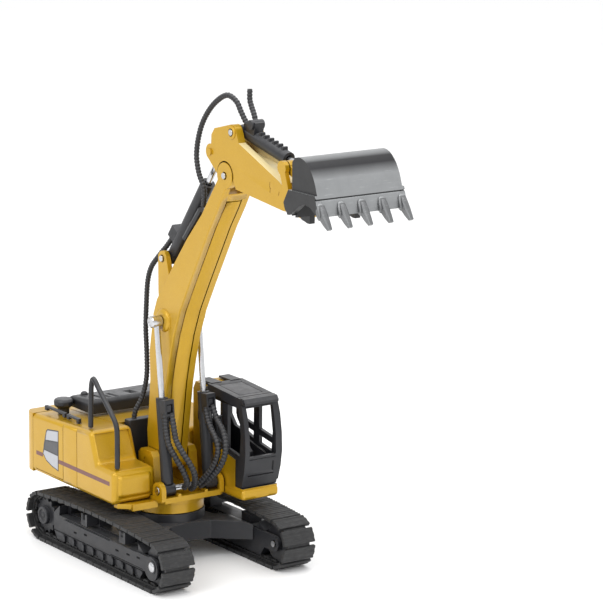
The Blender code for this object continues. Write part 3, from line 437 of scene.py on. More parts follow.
def cleaned(mesh, gap_mm):
    """A bmesh of a mesh, with its near points welded and its coplanar faces joined."""
    bm = bmesh.new()
    bm.from_mesh(mesh)
    bmesh.ops.remove_doubles(bm, verts=bm.verts, dist=gap_mm * MM)
    bmesh.ops.dissolve_limit(bm, angle_limit=math.radians(1.0), verts=bm.verts, edges=bm.edges)
    return bm


def copy_of(node):
    """A copy of a CAD node's mesh."""
    return meshed(node + "_shape", cleaned(frame["nodes"][node].data, 0.002))


def rounded(obj, width, segments=2, angle=30):
    """Round every edge sharper than angle, and shade smooth with its flat faces kept flat."""
    bm = cleaned(obj.data, 0.03)
    bm.to_mesh(obj.data)
    bm.free()
    bevel = obj.modifiers.new("edges", "BEVEL")
    bevel.width = width * MM
    bevel.segments = segments
    bevel.limit_method = "ANGLE"
    bevel.angle_limit = math.radians(angle)
    bevel.use_clamp_overlap = True
    return shaded(applied(obj))


def smooth(obj, angle):
    """Smooth shading up to an angle between faces, in degrees."""
    obj.data.shade_smooth()
    obj.data.set_sharp_from_angle(angle=math.radians(angle))
    return obj


def shaded(obj):
    """Smooth shading with hard edges kept, and normals that follow the large faces."""
    smooth(obj, 50)
    normals = obj.modifiers.new("normals", "WEIGHTED_NORMAL")
    normals.keep_sharp = True
    normals.weight = 80
    return applied(obj)


def piece(obj, name, body, paint, slot, *nodes):
    """Name a finished piece, paint it and let it ride on its body in place of its CAD nodes."""
    obj.name = name
    obj.data.name = name
    obj.data.materials.clear()
    obj.data.materials.append(paint)
    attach(obj, body)
    if nodes:
        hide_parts(*nodes)
    return obj


def stand_in(node, obj):
    """Let a finished shape take the place of its CAD node."""
    slot = SLOT_OF[node]
    return piece(obj, node + "_shape", BODY_OF[node], PAINTS[slot], slot, node)


def refined(node, width, segments=2, cuts=(), adds=(), after=()):
    """The CAD node's shape with cuts, then additions, then softened edges, then fine cuts."""
    obj = copy_of(node)
    if cuts:
        cut(obj, *cuts)
    if adds:
        union(obj, *adds)
    rounded(obj, width, segments)
    if after:
        shaded(cut(obj, *after))
    return stand_in(node, obj)


def second_paint(obj, paint, test):
    """Paint the faces whose centre and normal pass the test; the centre is in the machine's frame."""
    obj.data.materials.append(paint)
    for face in obj.data.polygons:
        if test(face.center / MM - Vector((SWING_X, 0, 0)), face.normal):
            face.material_index = len(obj.data.materials) - 1
    return obj


def both_sides(low, high):
    """The two ranges of Y from low to high on the right and on the left."""
    return ((-high, -low), (low, high))


def bore(centre):
    """A cutter for a pin's hole along Y."""
    return disc("bore", centre, BORE_R, -20, 20, 16)


def film(name, body, paint, outline, side, lift=0.06):
    """A printed patch with an outline in XZ on one side wall of the house, proud of it by lift."""
    wall = side * HOUSE_HALF
    patch = prism(name, outline, *sorted((wall - side * 0.2, wall + side * lift)))
    return piece(patch, name, body, paint, "black_plastic")


# ---------------------------------------------------------------- camera and light
def build_studio():
    """Pale sweep, three soft lights and a long lens aimed down at the front right corner."""
    azimuth, elevation, roll = math.radians(55.095), math.radians(12.522), math.radians(0.534)
    position = Vector((0.9573, -0.6294, 0.3600))
    back = Vector((math.sin(azimuth) * math.cos(elevation), -math.cos(azimuth) * math.cos(elevation),
                   math.sin(elevation)))
    level = Vector((math.cos(azimuth), math.sin(azimuth), 0.0))
    upright = back.cross(level)
    right = level * math.cos(roll) + upright * math.sin(roll)
    up = back.cross(right)
    lens = bpy.data.cameras.new("camera")
    lens.sensor_width = 36.0
    lens.lens = 189.64
    lens.clip_start = 0.02
    camera = linked("camera", lens)
    camera.matrix_world = Matrix.Translation(position) @ Matrix((right, up, back)).transposed().to_4x4()
    bpy.context.scene.camera = camera

    reach = 6.0
    bm = bmesh.new()
    bm.faces.new([bm.verts.new((x * reach, y * reach, 0.0)) for x, y in ((-1, -1), (1, -1), (1, 1), (-1, 1))])
    floor = meshed("floor", bm)
    pale = Paint("pale_floor", 0.55)
    pale.shader.inputs["Base Color"].default_value = (0.97, 0.97, 0.97, 1.0)
    floor.data.materials.append(pale.material)

    world = bpy.data.worlds.new("studio")
    bpy.context.scene.world = world
    world.use_nodes = True
    background = world.node_tree.nodes["Background"]
    background.inputs["Color"].default_value = (1.0, 1.0, 1.0, 1.0)
    background.inputs["Strength"].default_value = 1.0
    lights = (("key", (0.15, -0.75, 0.75), 0.5, 3.3), ("top", (0.0, 0.1, 1.0), 0.9, 3.4),
              ("fill", (0.90, -0.20, 0.70), 0.5, 2.1))
    middle = Vector((0.0, 0.0, 0.08))
    for name, place, size, power in lights:
        light = bpy.data.lights.new(name, "AREA")
        light.size = size
        light.energy = power
        lamp = linked(name, light)
        lamp.location = place
        lamp.rotation_euler = (middle - Vector(place)).to_track_quat("-Z", "Y").to_euler()
    bpy.context.scene.view_settings.view_transform = "Standard"


# ---------------------------------------------------------------- tracks and undercarriage
def track_path(depth, count):
    """Points of the track's loop, a given depth below its outer face, equally spaced along it."""
    radius = TRACK_R - depth
    steps, bend_steps = 200, 60
    fine = [(WHEEL_X - 2 * WHEEL_X * i / steps, depth) for i in range(steps)]
    fine += arc((-WHEEL_X, TRACK_R), radius, bend_steps, 270, -180)[:-1]
    for i in range(steps):
        x = -WHEEL_X + 2 * WHEEL_X * i / steps
        fine.append((x, TRACK_R + radius + TRACK_SAG * (1 - (x / WHEEL_X) ** 2)))
    fine += arc((WHEEL_X, TRACK_R), radius, bend_steps, 90, -180)[:-1]
    runs = [math.dist(fine[i], fine[(i + 1) % len(fine)]) for i in range(len(fine))]
    total = sum(runs)
    points, k, done = [], 0, 0.0
    for i in range(count):
        goal = total * i / count
        while done + runs[k] < goal:
            done += runs[k]
            k += 1
        start, end = Vector(fine[k]), Vector(fine[(k + 1) % len(fine)])
        points.append(start.lerp(end, (goal - done) / runs[k]))
    return points


def track_point(run, depth):
    """The place a given length along the pitch line and a given depth below the outer face."""
    straight = 2 * WHEEL_X
    bend = math.pi * (TRACK_R - PITCH_DEPTH)
    run %= 2 * (straight + bend)
    flip = 1
    if run >= straight + bend:
        run -= straight + bend
        flip = -1
    if run < straight:
        x = run - WHEEL_X
        z = depth - TRACK_R
        if flip < 0:
            z -= TRACK_SAG * (1 - (x / WHEEL_X) ** 2)
    else:
        angle = (run - straight) / (TRACK_R - PITCH_DEPTH) - math.pi / 2
        x = WHEEL_X + (TRACK_R - depth) * math.cos(angle)
        z = (TRACK_R - depth) * math.sin(angle)
    return Vector((flip * x, TRACK_R + flip * z))


def build_track(side, tag):
    """A belt with shoes, which spread at the wheels: plates with low ridges outside and two links inside."""
    y = side * TRACK_Y
    outer = track_path(1.0, 4 * SHOE_COUNT)
    inner = track_path(2.3, 4 * SHOE_COUNT)
    bm = bmesh.new()
    rings = [[bm.verts.new((p.x, y + s * BELT_HALF, p.y)) for p in path]
             for path, s in ((outer, -1), (outer, 1), (inner, 1), (inner, -1))]
    skin(bm, rings + rings[:1])
    belt = solid("belt", bm)

    length = 4 * WHEEL_X + 2 * math.pi * (TRACK_R - PITCH_DEPTH)
    bm = bmesh.new()
    for k in range(SHOE_COUNT):
        run = length * (k + 0.5) / SHOE_COUNT
        # shorter along the pitch line on the bends, where the outer face spreads
        half = 2.08 if abs(track_point(run, 0.0).x) > WHEEL_X + 1.0 else 2.34
        profile = [(-half, 1.5), (-half, 0.25), (-half + 0.16, 0.04), (-half + 0.34, 0.0), (-1.45, 0.0),
                   (-1.30, 0.24), (-0.60, 0.24), (-0.44, 0.08), (0.30, 0.08), (0.46, 0.26), (1.05, 0.26),
                   (1.20, 0.0), (half - 0.34, 0.0), (half - 0.16, 0.04), (half, 0.25), (half, 1.5),
                   (0.8, 1.5), (-0.8, 1.5)]
        carry(bm, [track_point(run + s, depth) for s, depth in profile], y - SHOE_HALF, y + SHOE_HALF)
        link = [(-1.7, 2.2), (1.7, 2.2), (1.2, 3.1), (-1.2, 3.1)]
        for low, high in both_sides(2.6, 4.4):
            carry(bm, [track_point(run + s, depth) for s, depth in link], y + low, y + high)
    shoes = solid("shoes", bm)
    track = gather("track", [belt, rounded(shoes, 0.10, 1)])
    piece(track, f"track_{tag}_belt", "undercarriage", RUBBER, "track_rubber", f"track_{tag}")


def build_track_frame(side, tag):
    """Side frame: a beam with engraved ledges, notched rollers, slots, two carriers and an idler bracket."""
    y = side * TRACK_Y
    face = y + side * FRAME_HALF

    def span(low, high):
        return sorted((face + side * low, face + side * high))

    rollers = [(-23.0 + i * 7.1, 4.2) for i in range(8)]
    cuts = [block("notch", (x - 2.0, x + 1.7), span(-1.8, 3.0), (2.0, 5.7)) for x, _ in rollers]
    adds = [disc("roller", (x, z), 1.45, *span(-2.2, -0.5), 14) for x, z in rollers]
    adds += [block("hanger", (x - 2.2, x - 1.2), span(-2.2, 0.3), (3.0, 6.2)) for x, _ in rollers]
    adds.append(disc("bracket", (WHEEL_X - 0.6, TRACK_R - 0.8), 4.5, *span(0.3, 1.2), 30))
    adds.append(disc("cap", (WHEEL_X, TRACK_R), 2.6, *span(0.6, 1.45), 24))
    windows = ((-26, -10.4), (-4.6, 17.1), (22.9, 29))
    cuts += [block("window", x, (y - 7.0, y + 7.0), (13.3, 18.6)) for x in windows]
    for x in CARRIER_X:
        adds.append(block("carrier", (x - 2.1, x + 2.1), span(-3.0, 1.5), (13.9, 18.4)))
    after = [block("ledge", (-27.5, 33.5), span(0.35, 3.0), (6.95, 7.3)),
             block("ledge", (-40.0, 34.0), span(-0.35, 0.5), (5.9, 6.25))]
    for x, z in ((-15.3, 9.0), (-7.7, 10.0), (15.2, 9.8), (23.1, 10.2), (30.3, 10.8)):
        slot = arc((x + 0.8, z), 0.42, 6, -90, 180) + arc((x - 0.8, z), 0.42, 6, 90, 180)
        after.append(prism("slot", slot, *span(-0.1, 3.0)))
    for x in CARRIER_X:
        after.append(block("fork", (x - 0.9, x + 0.9), span(0.2, 3.0), (16.2, 21.0)))
    refined(f"track_frame_{tag}", 0.20, cuts=cuts, adds=adds, after=after)


def build_sprocket(side, tag):
    """Toothed wheel with a small dished hub."""
    y = side * TRACK_Y
    centre = (-WHEEL_X, TRACK_R)
    plain = disc("plain", centre, 9.0, *sorted((y + side * 3.62, y + side * 9.0)))
    hub = turned("hub", [(3.6, -0.6), (3.6, 1.5), (3.3, 1.8), (2.5, 1.8), (2.2, 1.2), (1.2, 1.2), (1.0, 1.5),
                         (0.4, 1.6)], centre, y + side * 3.6, side)
    refined(f"sprocket_{tag}", 0.18, cuts=[plain], adds=[hub])


def build_undercarriage():
    for side, tag in SIDES:
        build_track(side, tag)
        build_track_frame(side, tag)
        build_sprocket(side, tag)
        refined(f"idler_{tag}", 0.18)
        y = side * TRACK_Y
        head = turned("head", [(1.2, -11.6), (1.2, 0.0), (1.9, 0.05), (1.9, 0.35), (1.5, 0.7), (0.7, 0.85)],
                      (WHEEL_X, TRACK_R), y + side * 5.7, side)
        smooth(head, 40)
        piece(head, f"idler_axle_{tag}_pin", "undercarriage", CHROME, "chrome_pin", f"idler_axle_{tag}")
    refined("car_body", 2.2, 5)


# ---------------------------------------------------------------- hoses
def smooth_route(points, count):
    """Points along a Catmull-Rom curve through a short list of points."""
    ends = [points[0] * 2 - points[1]] + points + [points[-1] * 2 - points[-2]]
    route = []
    for i in range(count):
        place = (len(points) - 1) * i / (count - 1)
        k = min(int(place), len(points) - 2)
        t = place - k
        a, b, c, d = ends[k:k + 4]
        route.append(0.5 * (2 * b + (c - a) * t + (2 * a - 5 * b + 4 * c - d) * t * t
                            + (3 * b - a - 3 * c + d) * t ** 3))
    return route


def ribbed(name, points, radius=1.08, pitch=1.25, depth=0.24):
    """A corrugated hose: rings of a swept circle whose radius swells once every pitch."""
    sides = 14
    fine = smooth_route([Vector(p) for p in points], 60 * len(points))
    lengths = [0.0]
    for a, b in zip(fine, fine[1:]):
        lengths.append(lengths[-1] + (b - a).length)
    total = lengths[-1]
    steps = max(2, round(total / (pitch / 6)))
    bm = bmesh.new()
    rings, k = [], 0
    across = None
    for i in range(steps + 1):
        goal = total * i / steps
        while k < len(lengths) - 2 and lengths[k + 1] < goal:
            k += 1
        run = (fine[k + 1] - fine[k]).normalized()
        centre = fine[k].lerp(fine[k + 1], (goal - lengths[k]) / (lengths[k + 1] - lengths[k]))
        if across is None:
            across = run.orthogonal().normalized()
        across = (across - run * across.dot(run)).normalized()
        other = run.cross(across)
        swell = 0.5 + 0.5 * math.cos(2 * math.pi * goal / pitch)
        size = radius - depth * (1 - swell ** 0.6)
        rings.append([bm.verts.new(centre + across * size * math.cos(t) + other * size * math.sin(t))
                      for t in (2 * math.pi * j / sides for j in range(sides))])
    skin(bm, rings)
    cap(bm, rings)
    return smooth(solid(name, bm), 70)


def build_hoses():
    """Corrugated hoses on the routes of their CAD solids."""
    def place(point):
        return tuple((Vector(point) + Vector((SWING_X, 0, 0))) * MM)

    def crossing(hose, name, node, start, end):
        hose.name = name
        hose.data.materials.append(HOSE)
        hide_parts(node)
        place(start)
        place(end)
        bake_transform(hose)

    tip_right = [(31.0, -4.4, 140.8), (32.2, -4.8, 144.4), (31.6, -4.8, 148.2), (28.4, -4.8, 153.0),
                 (26.6, -4.6, 159.6), (28.3, -4.4, 167.8), (31.5, -3.8, 174.3), (37.0, -3.2, 180.0),
                 (43.6, -2.6, 183.4), (48.4, -1.8, 181.8), (51.4, -1.6, 178.2), (53.6, -1.2, 175.2),
                 (55.6, -1.0, 173.4)]
    crossing(ribbed("tip_right", tip_right), "tip_hose_right_ribbed", "tip_hose_right",
             (28.0, -4.6, 158.0), (44.0, -2.6, 182.0))
    tip_left = [(57.2, 1.0, 174.6), (55.4, 1.3, 177.6), (53.4, 1.6, 180.0), (52.0, 1.7, 182.6),
                (51.8, 1.8, 186.4)]
    piece(ribbed("tip_left", tip_left), "tip_hose_left_ribbed", "bucket_barrel", HOSE, "hose_rubber",
          "tip_hose_left")
    main = [(6.0, -0.2, 126.0), (3.6, -0.6, 123.6), (1.2, -1.4, 120.4), (-2.8, -2.4, 116.0),
            (-7.0, -3.0, 111.2), (-9.6, -3.0, 105.6), (-10.6, -3.0, 98.0), (-11.2, -3.0, 87.0),
            (-10.2, -3.2, 77.0), (-9.4, -3.8, 68.0), (-10.2, -5.2, 60.0), (-11.6, -7.4, 54.6),
            (-11.9, -8.0, 50.8)]
    crossing(ribbed("main", main), "stick_cylinder_hose_ribbed", "stick_cylinder_hose",
             (-12.0, -8.0, 53.0), (-10.6, -3.0, 92.0))
    loops = {"right": ([(14.4, -10.6, 59.5), (15.0, -10.6, 54.0), (16.4, -10.2, 48.0), (18.6, -8.6, 43.0),
                        (20.6, -6.6, 38.2), (20.8, -4.8, 33.6), (18.0, -4.2, 30.6)],
                       [(15.0, -8.2, 59.5), (17.0, -8.4, 54.5), (18.2, -8.0, 49.5), (20.6, -7.0, 45.6),
                        (23.0, -5.0, 41.0), (23.6, -3.2, 36.6), (20.8, -1.6, 31.6), (17.4, -1.2, 29.4)]),
             "left": ([(14.4, 7.6, 59.5), (15.8, 7.6, 55.0), (18.8, 7.4, 51.6), (22.4, 7.2, 48.4),
                       (24.0, 7.0, 44.6), (23.6, 6.0, 40.2), (21.6, 4.6, 36.0), (18.2, 2.4, 31.4)],
                      [(15.2, 10.2, 60.0), (18.0, 10.2, 55.4), (22.8, 9.8, 51.8), (25.8, 9.2, 47.2),
                       (26.2, 8.2, 42.0), (24.4, 6.6, 37.2), (21.2, 4.8, 33.0), (17.0, 3.6, 29.8)])}
    for tag, strands in loops.items():
        loop = gather("loop", [ribbed("strand", strand, 1.22, 1.35, 0.26) for strand in strands])
        crossing(loop, f"cylinder_hose_{tag}_ribbed", f"cylinder_hose_{tag}",
                 (19.8, 0, 31.0), (21.0, 0, 40.0))
    pair = []
    for y in (1.0, 4.2):
        strand = [(-2.6, y, 97.0), (-5.8, y, 90.0), (-6.4, y, 80.0), (-6.0, y, 70.0), (-7.2, y, 61.0),
                  (-10.8, y, 55.4), (-12.0, y, 50.8)]
        pair.append(ribbed("strand", strand))
    pair.append(rounded(block("clip", (-7.7, -5.1), (-0.3, 5.5), (78.0, 81.0)), 0.3))
    crossing(gather("pair", pair), "boom_hose_pair_ribbed", "boom_hose_pair",
             (-12.0, 0, 53.0), (-5.8, 0, 90.0))


# ---------------------------------------------------------------- house
def build_house():
    """Side walls and engine bay in one casting, the counterweight, and the printed patches and left vent."""
    right = prism("right", [(PAST_REAR, HOUSE_LOW), (9.2, HOUSE_LOW), (9.9, 27.2), (9.9, 38.2), (-2.4, 38.7),
                            (-6.8, 50.4), (PAST_REAR, 48.1)], -HOUSE_HALF, -CHANNEL_Y)
    rounded(right, 1.9, 5)
    bay = prism("bay", [(HOUSE_REAR, HOUSE_LOW), (-13.9, HOUSE_LOW), (-13.9, 50.2), (HOUSE_REAR, 48.4)],
                -CHANNEL_Y - 3.0, CHANNEL_Y + 3.0)
    left = prism("left", [(PAST_REAR, HOUSE_LOW), (-6.1, HOUSE_LOW), (-6.1, 46.0), (-17.0, 46.4),
                          (-28.0, 49.3), (PAST_REAR, 48.1)], CHANNEL_Y, HOUSE_HALF)
    rounded(left, 1.9, 5)
    shell = cut(union(right, bay, left), block("rear", (-60.0, HOUSE_REAR), ACROSS, UPRIGHT))
    scoop = prism("scoop", [(-3.2, 40.6), (-3.6, 41.6), (-7.0, 49.0), (-3.0, 52.0), (6.0, 46.0), (1.0, 40.2)],
                  -28.9, -13.8)
    pad = rounded(block("pad", (7.0, 10.9), (-28.6, -14.2), (28.2, 36.6)), 1.5, 5)
    rounded(cut(union(shell, pad), scoop), 0.3, 2)
    wall = 2.0
    inside = HOUSE_HALF - wall
    right_space = (-inside, -CHANNEL_Y - wall)
    spaces = [block("space", (HOUSE_REAR + wall, -15.9), (-inside, inside), (20, 46.2)),
              block("space", (-16.0, -8.2), right_space, (20, 46.2)),
              block("space", (-8.3, 7.6), right_space, (20, 36.2)),
              block("space", (-16.0, -8.1), (CHANNEL_Y + wall, inside), (20, 43.5)),
              block("rebate", (-20, 40), (-14.6, 14.6), (20, 27.5))]
    grooves = [block("seam", (x - 0.2, x + 0.2), (-40, -HOUSE_HALF + 0.5), UPRIGHT) for x in (-27.2, -16.9)]
    grooves.append(block("seam", (-28.2, -27.8), (HOUSE_HALF - 0.5, 40), UPRIGHT))
    grooves.append(block("line", (-48.0, -27.0), (-40, -HOUSE_HALF + 0.4), (26.6, 26.95)))
    grooves.append(block("line", (-48.0, -28.0), (HOUSE_HALF - 0.4, 40), (26.6, 26.95)))
    grooves.append(block("top", (-47.0, -13.0), (-28.4, -28.1), (47.6, 52)))
    stand_in("house_shell", shaded(cut(shell, *spaces, *grooves)))

    front = block("front", (-50.6, -46.0), (-HOUSE_HALF, HOUSE_HALF), (HOUSE_LOW, 48.4))
    rear = rounded(union(copy_of("counterweight"), front), 1.9, 5)
    stand_in("counterweight", shaded(cut(rear, block("joint", (-50.15, -40.0), ACROSS, UPRIGHT))))

    for side, tag in SIDES:
        border = [(-39.9, 43.6), (-38.8, 44.5), (-30.5, 45.6), (-30.7, 29.4), (-35.6, 30.2), (-39.9, 31.6),
                  (-42.5, 34.0), (-41.6, 38.2)]
        upper = [(-39.4, 43.2), (-38.6, 44.0), (-30.9, 45.1), (-31.0, 41.2), (-40.2, 40.0)]
        lower = [(-41.2, 35.6), (-31.1, 35.4), (-31.1, 29.9), (-35.6, 30.7), (-39.7, 32.1), (-42.0, 34.2)]
        film(f"sticker_border_{tag}", "house", BORDER_FILM, border, side, 0.05)
        film(f"sticker_upper_{tag}", "house", SILVER_FILM, upper, side, 0.10)
        film(f"sticker_lower_{tag}", "house", SILVER_FILM, lower, side, 0.10)
        film(f"sticker_band_{tag}", "house", GREY_FILM,
             [(-40.1, 39.4), (-31.0, 40.6), (-31.1, 36.0), (-41.0, 36.2)], side, 0.10)
        film(f"stripe_rear_{tag}", "house", STRIPE_FILM,
             [(-47.5, 32.5), (-42.6, 32.6), (-42.4, 34.1), (-47.5, 34.1)], side)
        end = 6.9 if side < 0 else -7.0
        film(f"stripe_{tag}", "house", STRIPE_FILM,
             [(-30.5, 32.6), (end, 32.5), (end, 34.1), (-30.5, 34.2)], side)

    louvres = []
    for k in range(6):
        x, z = -24.4 + 0.32 * k, 35.6 + 1.3 * k
        louvres.append(prism("louvre", [(x, z), (x + 12.0, z), (x + 12.2, z + 0.8), (x + 0.2, z + 0.8)],
                             HOUSE_HALF - 0.2, HOUSE_HALF + 0.45))
    louvres.append(prism("panel", [(-25.2, 35.0), (-11.6, 35.0), (-9.6, 44.2), (-23.0, 44.2)],
                         HOUSE_HALF - 0.3, HOUSE_HALF + 0.15))
    piece(rounded(gather("vent", louvres), 0.12, 1), "vent_left", "house", BLACK, "black_plastic")


def build_deck():
    """Deck with flat plates at the boom's foot and an open view of the cylinders' shaft."""
    plate = [(-5.6, 26.0), (-5.6, 40.2), (-3.8, 42.0), (3.2, 42.0), (4.8, 40.0), (6.2, 26.0)]
    plates = [prism("plate", plate, low, high) for low, high in both_sides(BOOM_HALF + 0.4, 9.9)]
    plates.append(block("joint", (7.0, 10.6), (-24.0, -13.5), (24.3, 25.6)))
    taper = [(9.2, -28.4), (12.6, -24.6), (12.6, -23.0), (6.6, -23.0), (6.6, -28.4)]
    plates.append(prism("taper", taper, 23.9, 25.8, "Z"))
    clear = [block("clear", (10.0, 20.0), (low, high), (28.2, 40)) for low, high in both_sides(5.0, 6.9)]
    dimples = [disc("dimple", BOOM_FOOT, 1.7, low, high, 24) for low, high in both_sides(9.5, 12.0)]
    refined("deck_plate", 0.35, cuts=clear, adds=plates, after=dimples)
    stand_in("boom_foot_pin", shaded(disc("pin", BOOM_FOOT, 1.2, -9.3, 9.3, 20)))


def build_hood():
    """Low engine cover with vents, a round knob, and a faceted intake cap."""
    base = 50.8
    hood = prism("hood", [(-45.4, base), (-27.4, base), (-27.4, 54.9), (-28.6, 56.3), (-43.2, 55.2),
                          (-45.4, 53.6)], -17.6, 22.0)
    chamfers = [prism("chamfer", [(side * a + shift, z) for a, z in ((22.4, 53.6), (22.4, 60), (18.2, 60))],
                      -50, 0, "X") for side, shift in ((-1, 4.4), (1, 0))]
    rounded(cut(hood, *chamfers), 0.55, 3)
    vents = [block("vent", (-37.6 + k * 0.5, -29.8 + k * 0.5), (y - 0.95, y + 0.95), (53.6, 60))
             for k, y in enumerate((-11.0, -8.0, -5.0))]
    vents.append(block("vent", (-36.8, -29.8), (2.0, 5.6), (53.6, 60)))
    vents.append(block("line", (-44.0, -28.6), (-14.9, -14.6), (54.4, 60)))
    knob = turned("knob", [(0.9, -1.0), (0.9, 1.2), (1.4, 1.7), (1.55, 2.4), (1.2, 3.1), (0.5, 3.5)],
                  (-41.0, -12.6), 53.2, 1, 18, "Z")
    stand_in("engine_hood", shaded(union(cut(hood, *vents), knob)))
    profile = [(2.3, 0.0), (2.3, 2.0), (3.5, 3.1), (3.9, 3.6), (3.9, 5.0), (3.2, 5.9), (0.8, 6.0)]
    intake = turned("intake", profile, (-42.0, -21.4), 48.9, 1, 11, "Z")
    stand_in("intake_cap", rounded(intake, 0.15, 1))


def build_cab():
    """Cab: a black frame with broad pillars, a hatch, a visor and an engraved lower panel; a yellow sill."""
    left_wall = (CAB_Y1 - CAB_WALL, CAB_Y1)
    pillars = []
    for low, high in ((CAB_Y0, CAB_Y0 + CAB_WALL), left_wall):
        pillars.append(prism("pillar", [(15.0, 42.5), (19.0, 41.8), (18.9, 62.4), (15.2, 62.8)], low, high))
        pillars.append(prism("rear_pillar", [(3.0, 51.5), (6.2, 50.0), (6.0, 62.6), (3.0, 62.9)], low, high))
    pillars.append(prism("rail", [(6.0, 48.6), (27.6, 45.2), (27.6, 47.6), (6.0, 51.2)], *left_wall))
    pillars.append(prism("visor", [(27.6, 62.2), (30.2, 62.0), (30.4, 63.0), (29.2, 64.4), (27.0, 64.6)],
                         CAB_Y0 + 0.3, CAB_Y1 - 0.3))
    pillars.append(prism("bulge", [(20.0, 31.0), (28.2, 31.0), (30.0, 37.0), (30.9, 43.0), (30.6, 50.0),
                                   (29.4, 57.0), (27.8, 61.4), (26.6, 61.4), (28.0, 52.0), (28.2, 44.0),
                                   (26.0, 40.6), (20.0, 40.8)], CAB_Y1 - 0.5, CAB_Y1 + 1.1))
    after = [block("hatch", (9.0, 23.0), (y - 0.22, y + 0.22), (64.1, 70)) for y in (17.4, 27.6)]
    after += [block("hatch", (x - 0.22, x + 0.22), (17.2, 27.8), (64.1, 70)) for x in (9.0, 23.0)]
    after.append(block("step", (25.2, 25.6), (CAB_Y0 - 1, CAB_Y1 + 1), (64.0, 70)))
    after.append(block("line", (28.9, 40), (16.6, 28.4), (34.2, 34.6)))
    after.append(block("line", (30.6, 40), (16.6, 28.4), (40.8, 41.2)))
    after.append(block("notch", (29.4, 40), (27.2, 28.0), (35.6, 39.4)))
    refined("cab_front", 0.45, 3, adds=pillars, after=after)
    sill = rounded(block("sill", (-4.0, 29.9), (CAB_Y0 - 0.3, CAB_Y1 + 0.5), (24.9, 29.0)), 1.4, 4)
    tab = block("tab", (28.0, 29.9), (20.2, 26.2), (25.6, 27.2))
    body = refined("cab_body", 1.2, 4, adds=[sill, tab])
    middle = (CAB_Y0 + CAB_Y1) / 2
    second_paint(body, BLACK, lambda at, n: abs(at.y - middle) < 7.9 and -3.6 < at.x and 29.3 < at.z < 63.0)


# ---------------------------------------------------------------- boom, stick and bucket
UNDERSIDE = [(44.9, 144.7), (42.9, 141.4), (37.3, 133.1), (30.2, 121.0), (23.5, 109.4), (17.2, 98.1),
             (13.2, 88.3), (10.0, 77.3), (7.9, 68.0), (6.0, 56.0), (4.0, 42.0)]


def band_along(points, inward, outward):
    """A strip that follows a line of points, from inward of it to outward of it."""
    inner, outer = [], []
    for i, point in enumerate(points):
        run = Vector(points[min(i + 1, len(points) - 1)]) - Vector(points[max(i - 1, 0)])
        side = Vector((run.y, -run.x)).normalized()
        inner.append(tuple(Vector(point) + side * inward))
        outer.append(tuple(Vector(point) - side * outward))
    return inner + outer[::-1]


def build_boom():
    """Boom whose underside is a flush panel with an engraved outline, in place of the CAD's channel."""
    back = [(-4.8, 44.0), (-5.2, 48.3), (-4.1, 56.4), (-3.0, 68.7), (-3.5, 79.4), (-0.7, 94.6), (1.8, 100.7),
            (7.1, 107.6), (15.1, 118.1), (22.4, 127.1), (32.4, 138.0)]
    outline = back + arc(STICK_PIVOT, 4.9, 18, 205, -290) + UNDERSIDE
    boom = prism("boom", outline + arc(BOOM_FOOT, 4.4, 14, 20, -220), -BOOM_HALF, BOOM_HALF)
    ear = arc(STICK_CYL_FOOT, 2.9, 12, 20, 150) + [(1.1, 104.0), (1.4, 99.0), (9.0, 109.0), (8.6, 111.0)]
    ears = [prism("ear", ear, low, high) for low, high in both_sides(3.1, 5.2)]
    boss = [(4.4, -0.5), (4.4, 0.4), (3.9, 0.9), (3.0, 1.3)]
    bosses = [turned("boss", boss, CYL_EYE, side * BOOM_HALF, side) for side, _ in SIDES]
    boom = cut(union(boom, *ears, *bosses), disc("slot", STICK_PIVOT, 7.4, -3.6, 3.6, 36),
               disc("swing", STICK_CYL_FOOT, 4.2, -3.1, 3.1, 24))
    rounded(boom, 0.5, 3)
    bores = [bore(centre) for centre in (STICK_PIVOT, BOOM_FOOT, STICK_CYL_FOOT)]
    strip = band_along(UNDERSIDE, 1.2, 1.0)
    lines = [prism("line", strip, y - 0.24, y + 0.24) for y in (-3.2, 3.2)]
    lines.append(prism("end", band_along([(44.7, 144.4), (44.5, 144.05)], 0.9, 1.0), -3.3, 3.3))
    lines.append(disc("pip", (22.2, 116.0), 0.9, -20, -19, 12))
    stand_in("boom_arm", shaded(cut(boom, *bores, *lines)))


def build_stick():
    """Stick with engraved marks, round flanges at its pins, and painted light: pale cream on its channel's floor
    and on the channel faces that look towards −Y.
    """
    flange = [(2.5, -0.4), (2.5, 0.25), (2.2, 0.45), (1.6, 0.45)]
    adds = [cut(turned("flange", flange, centre, side * 5.9, side, 24), bore(centre))
            for centre in (BUCKET_CYL_FOOT, STICK_TIP) for side, _ in SIDES]
    marks = []
    for low, high in both_sides(5.6, 9.0):
        marks.append(prism("mark", [(76.1, 157.0), (76.5, 157.0), (76.3, 155.2), (76.7, 154.9), (76.5, 153.2),
                                    (76.1, 153.2), (76.3, 154.8), (75.9, 155.1)], low, high))
        marks.append(prism("mark", [(81.9, 154.4), (82.3, 154.4), (81.9, 152.9), (81.5, 152.9)], low, high))
    stick = refined("stick_arm", 0.55, 3, adds=adds, after=marks)
    # painted light: the channel's floor and its faces towards −Y are pale cream, as if brightly lit
    second_paint(stick, PAINTED_LIGHT, lambda at, n: abs(at.y) < 3.3 and (n.y < -0.5 or n.z > 0.5)
                 and at.z > 152.0 and 54.0 < at.x < 92.0)


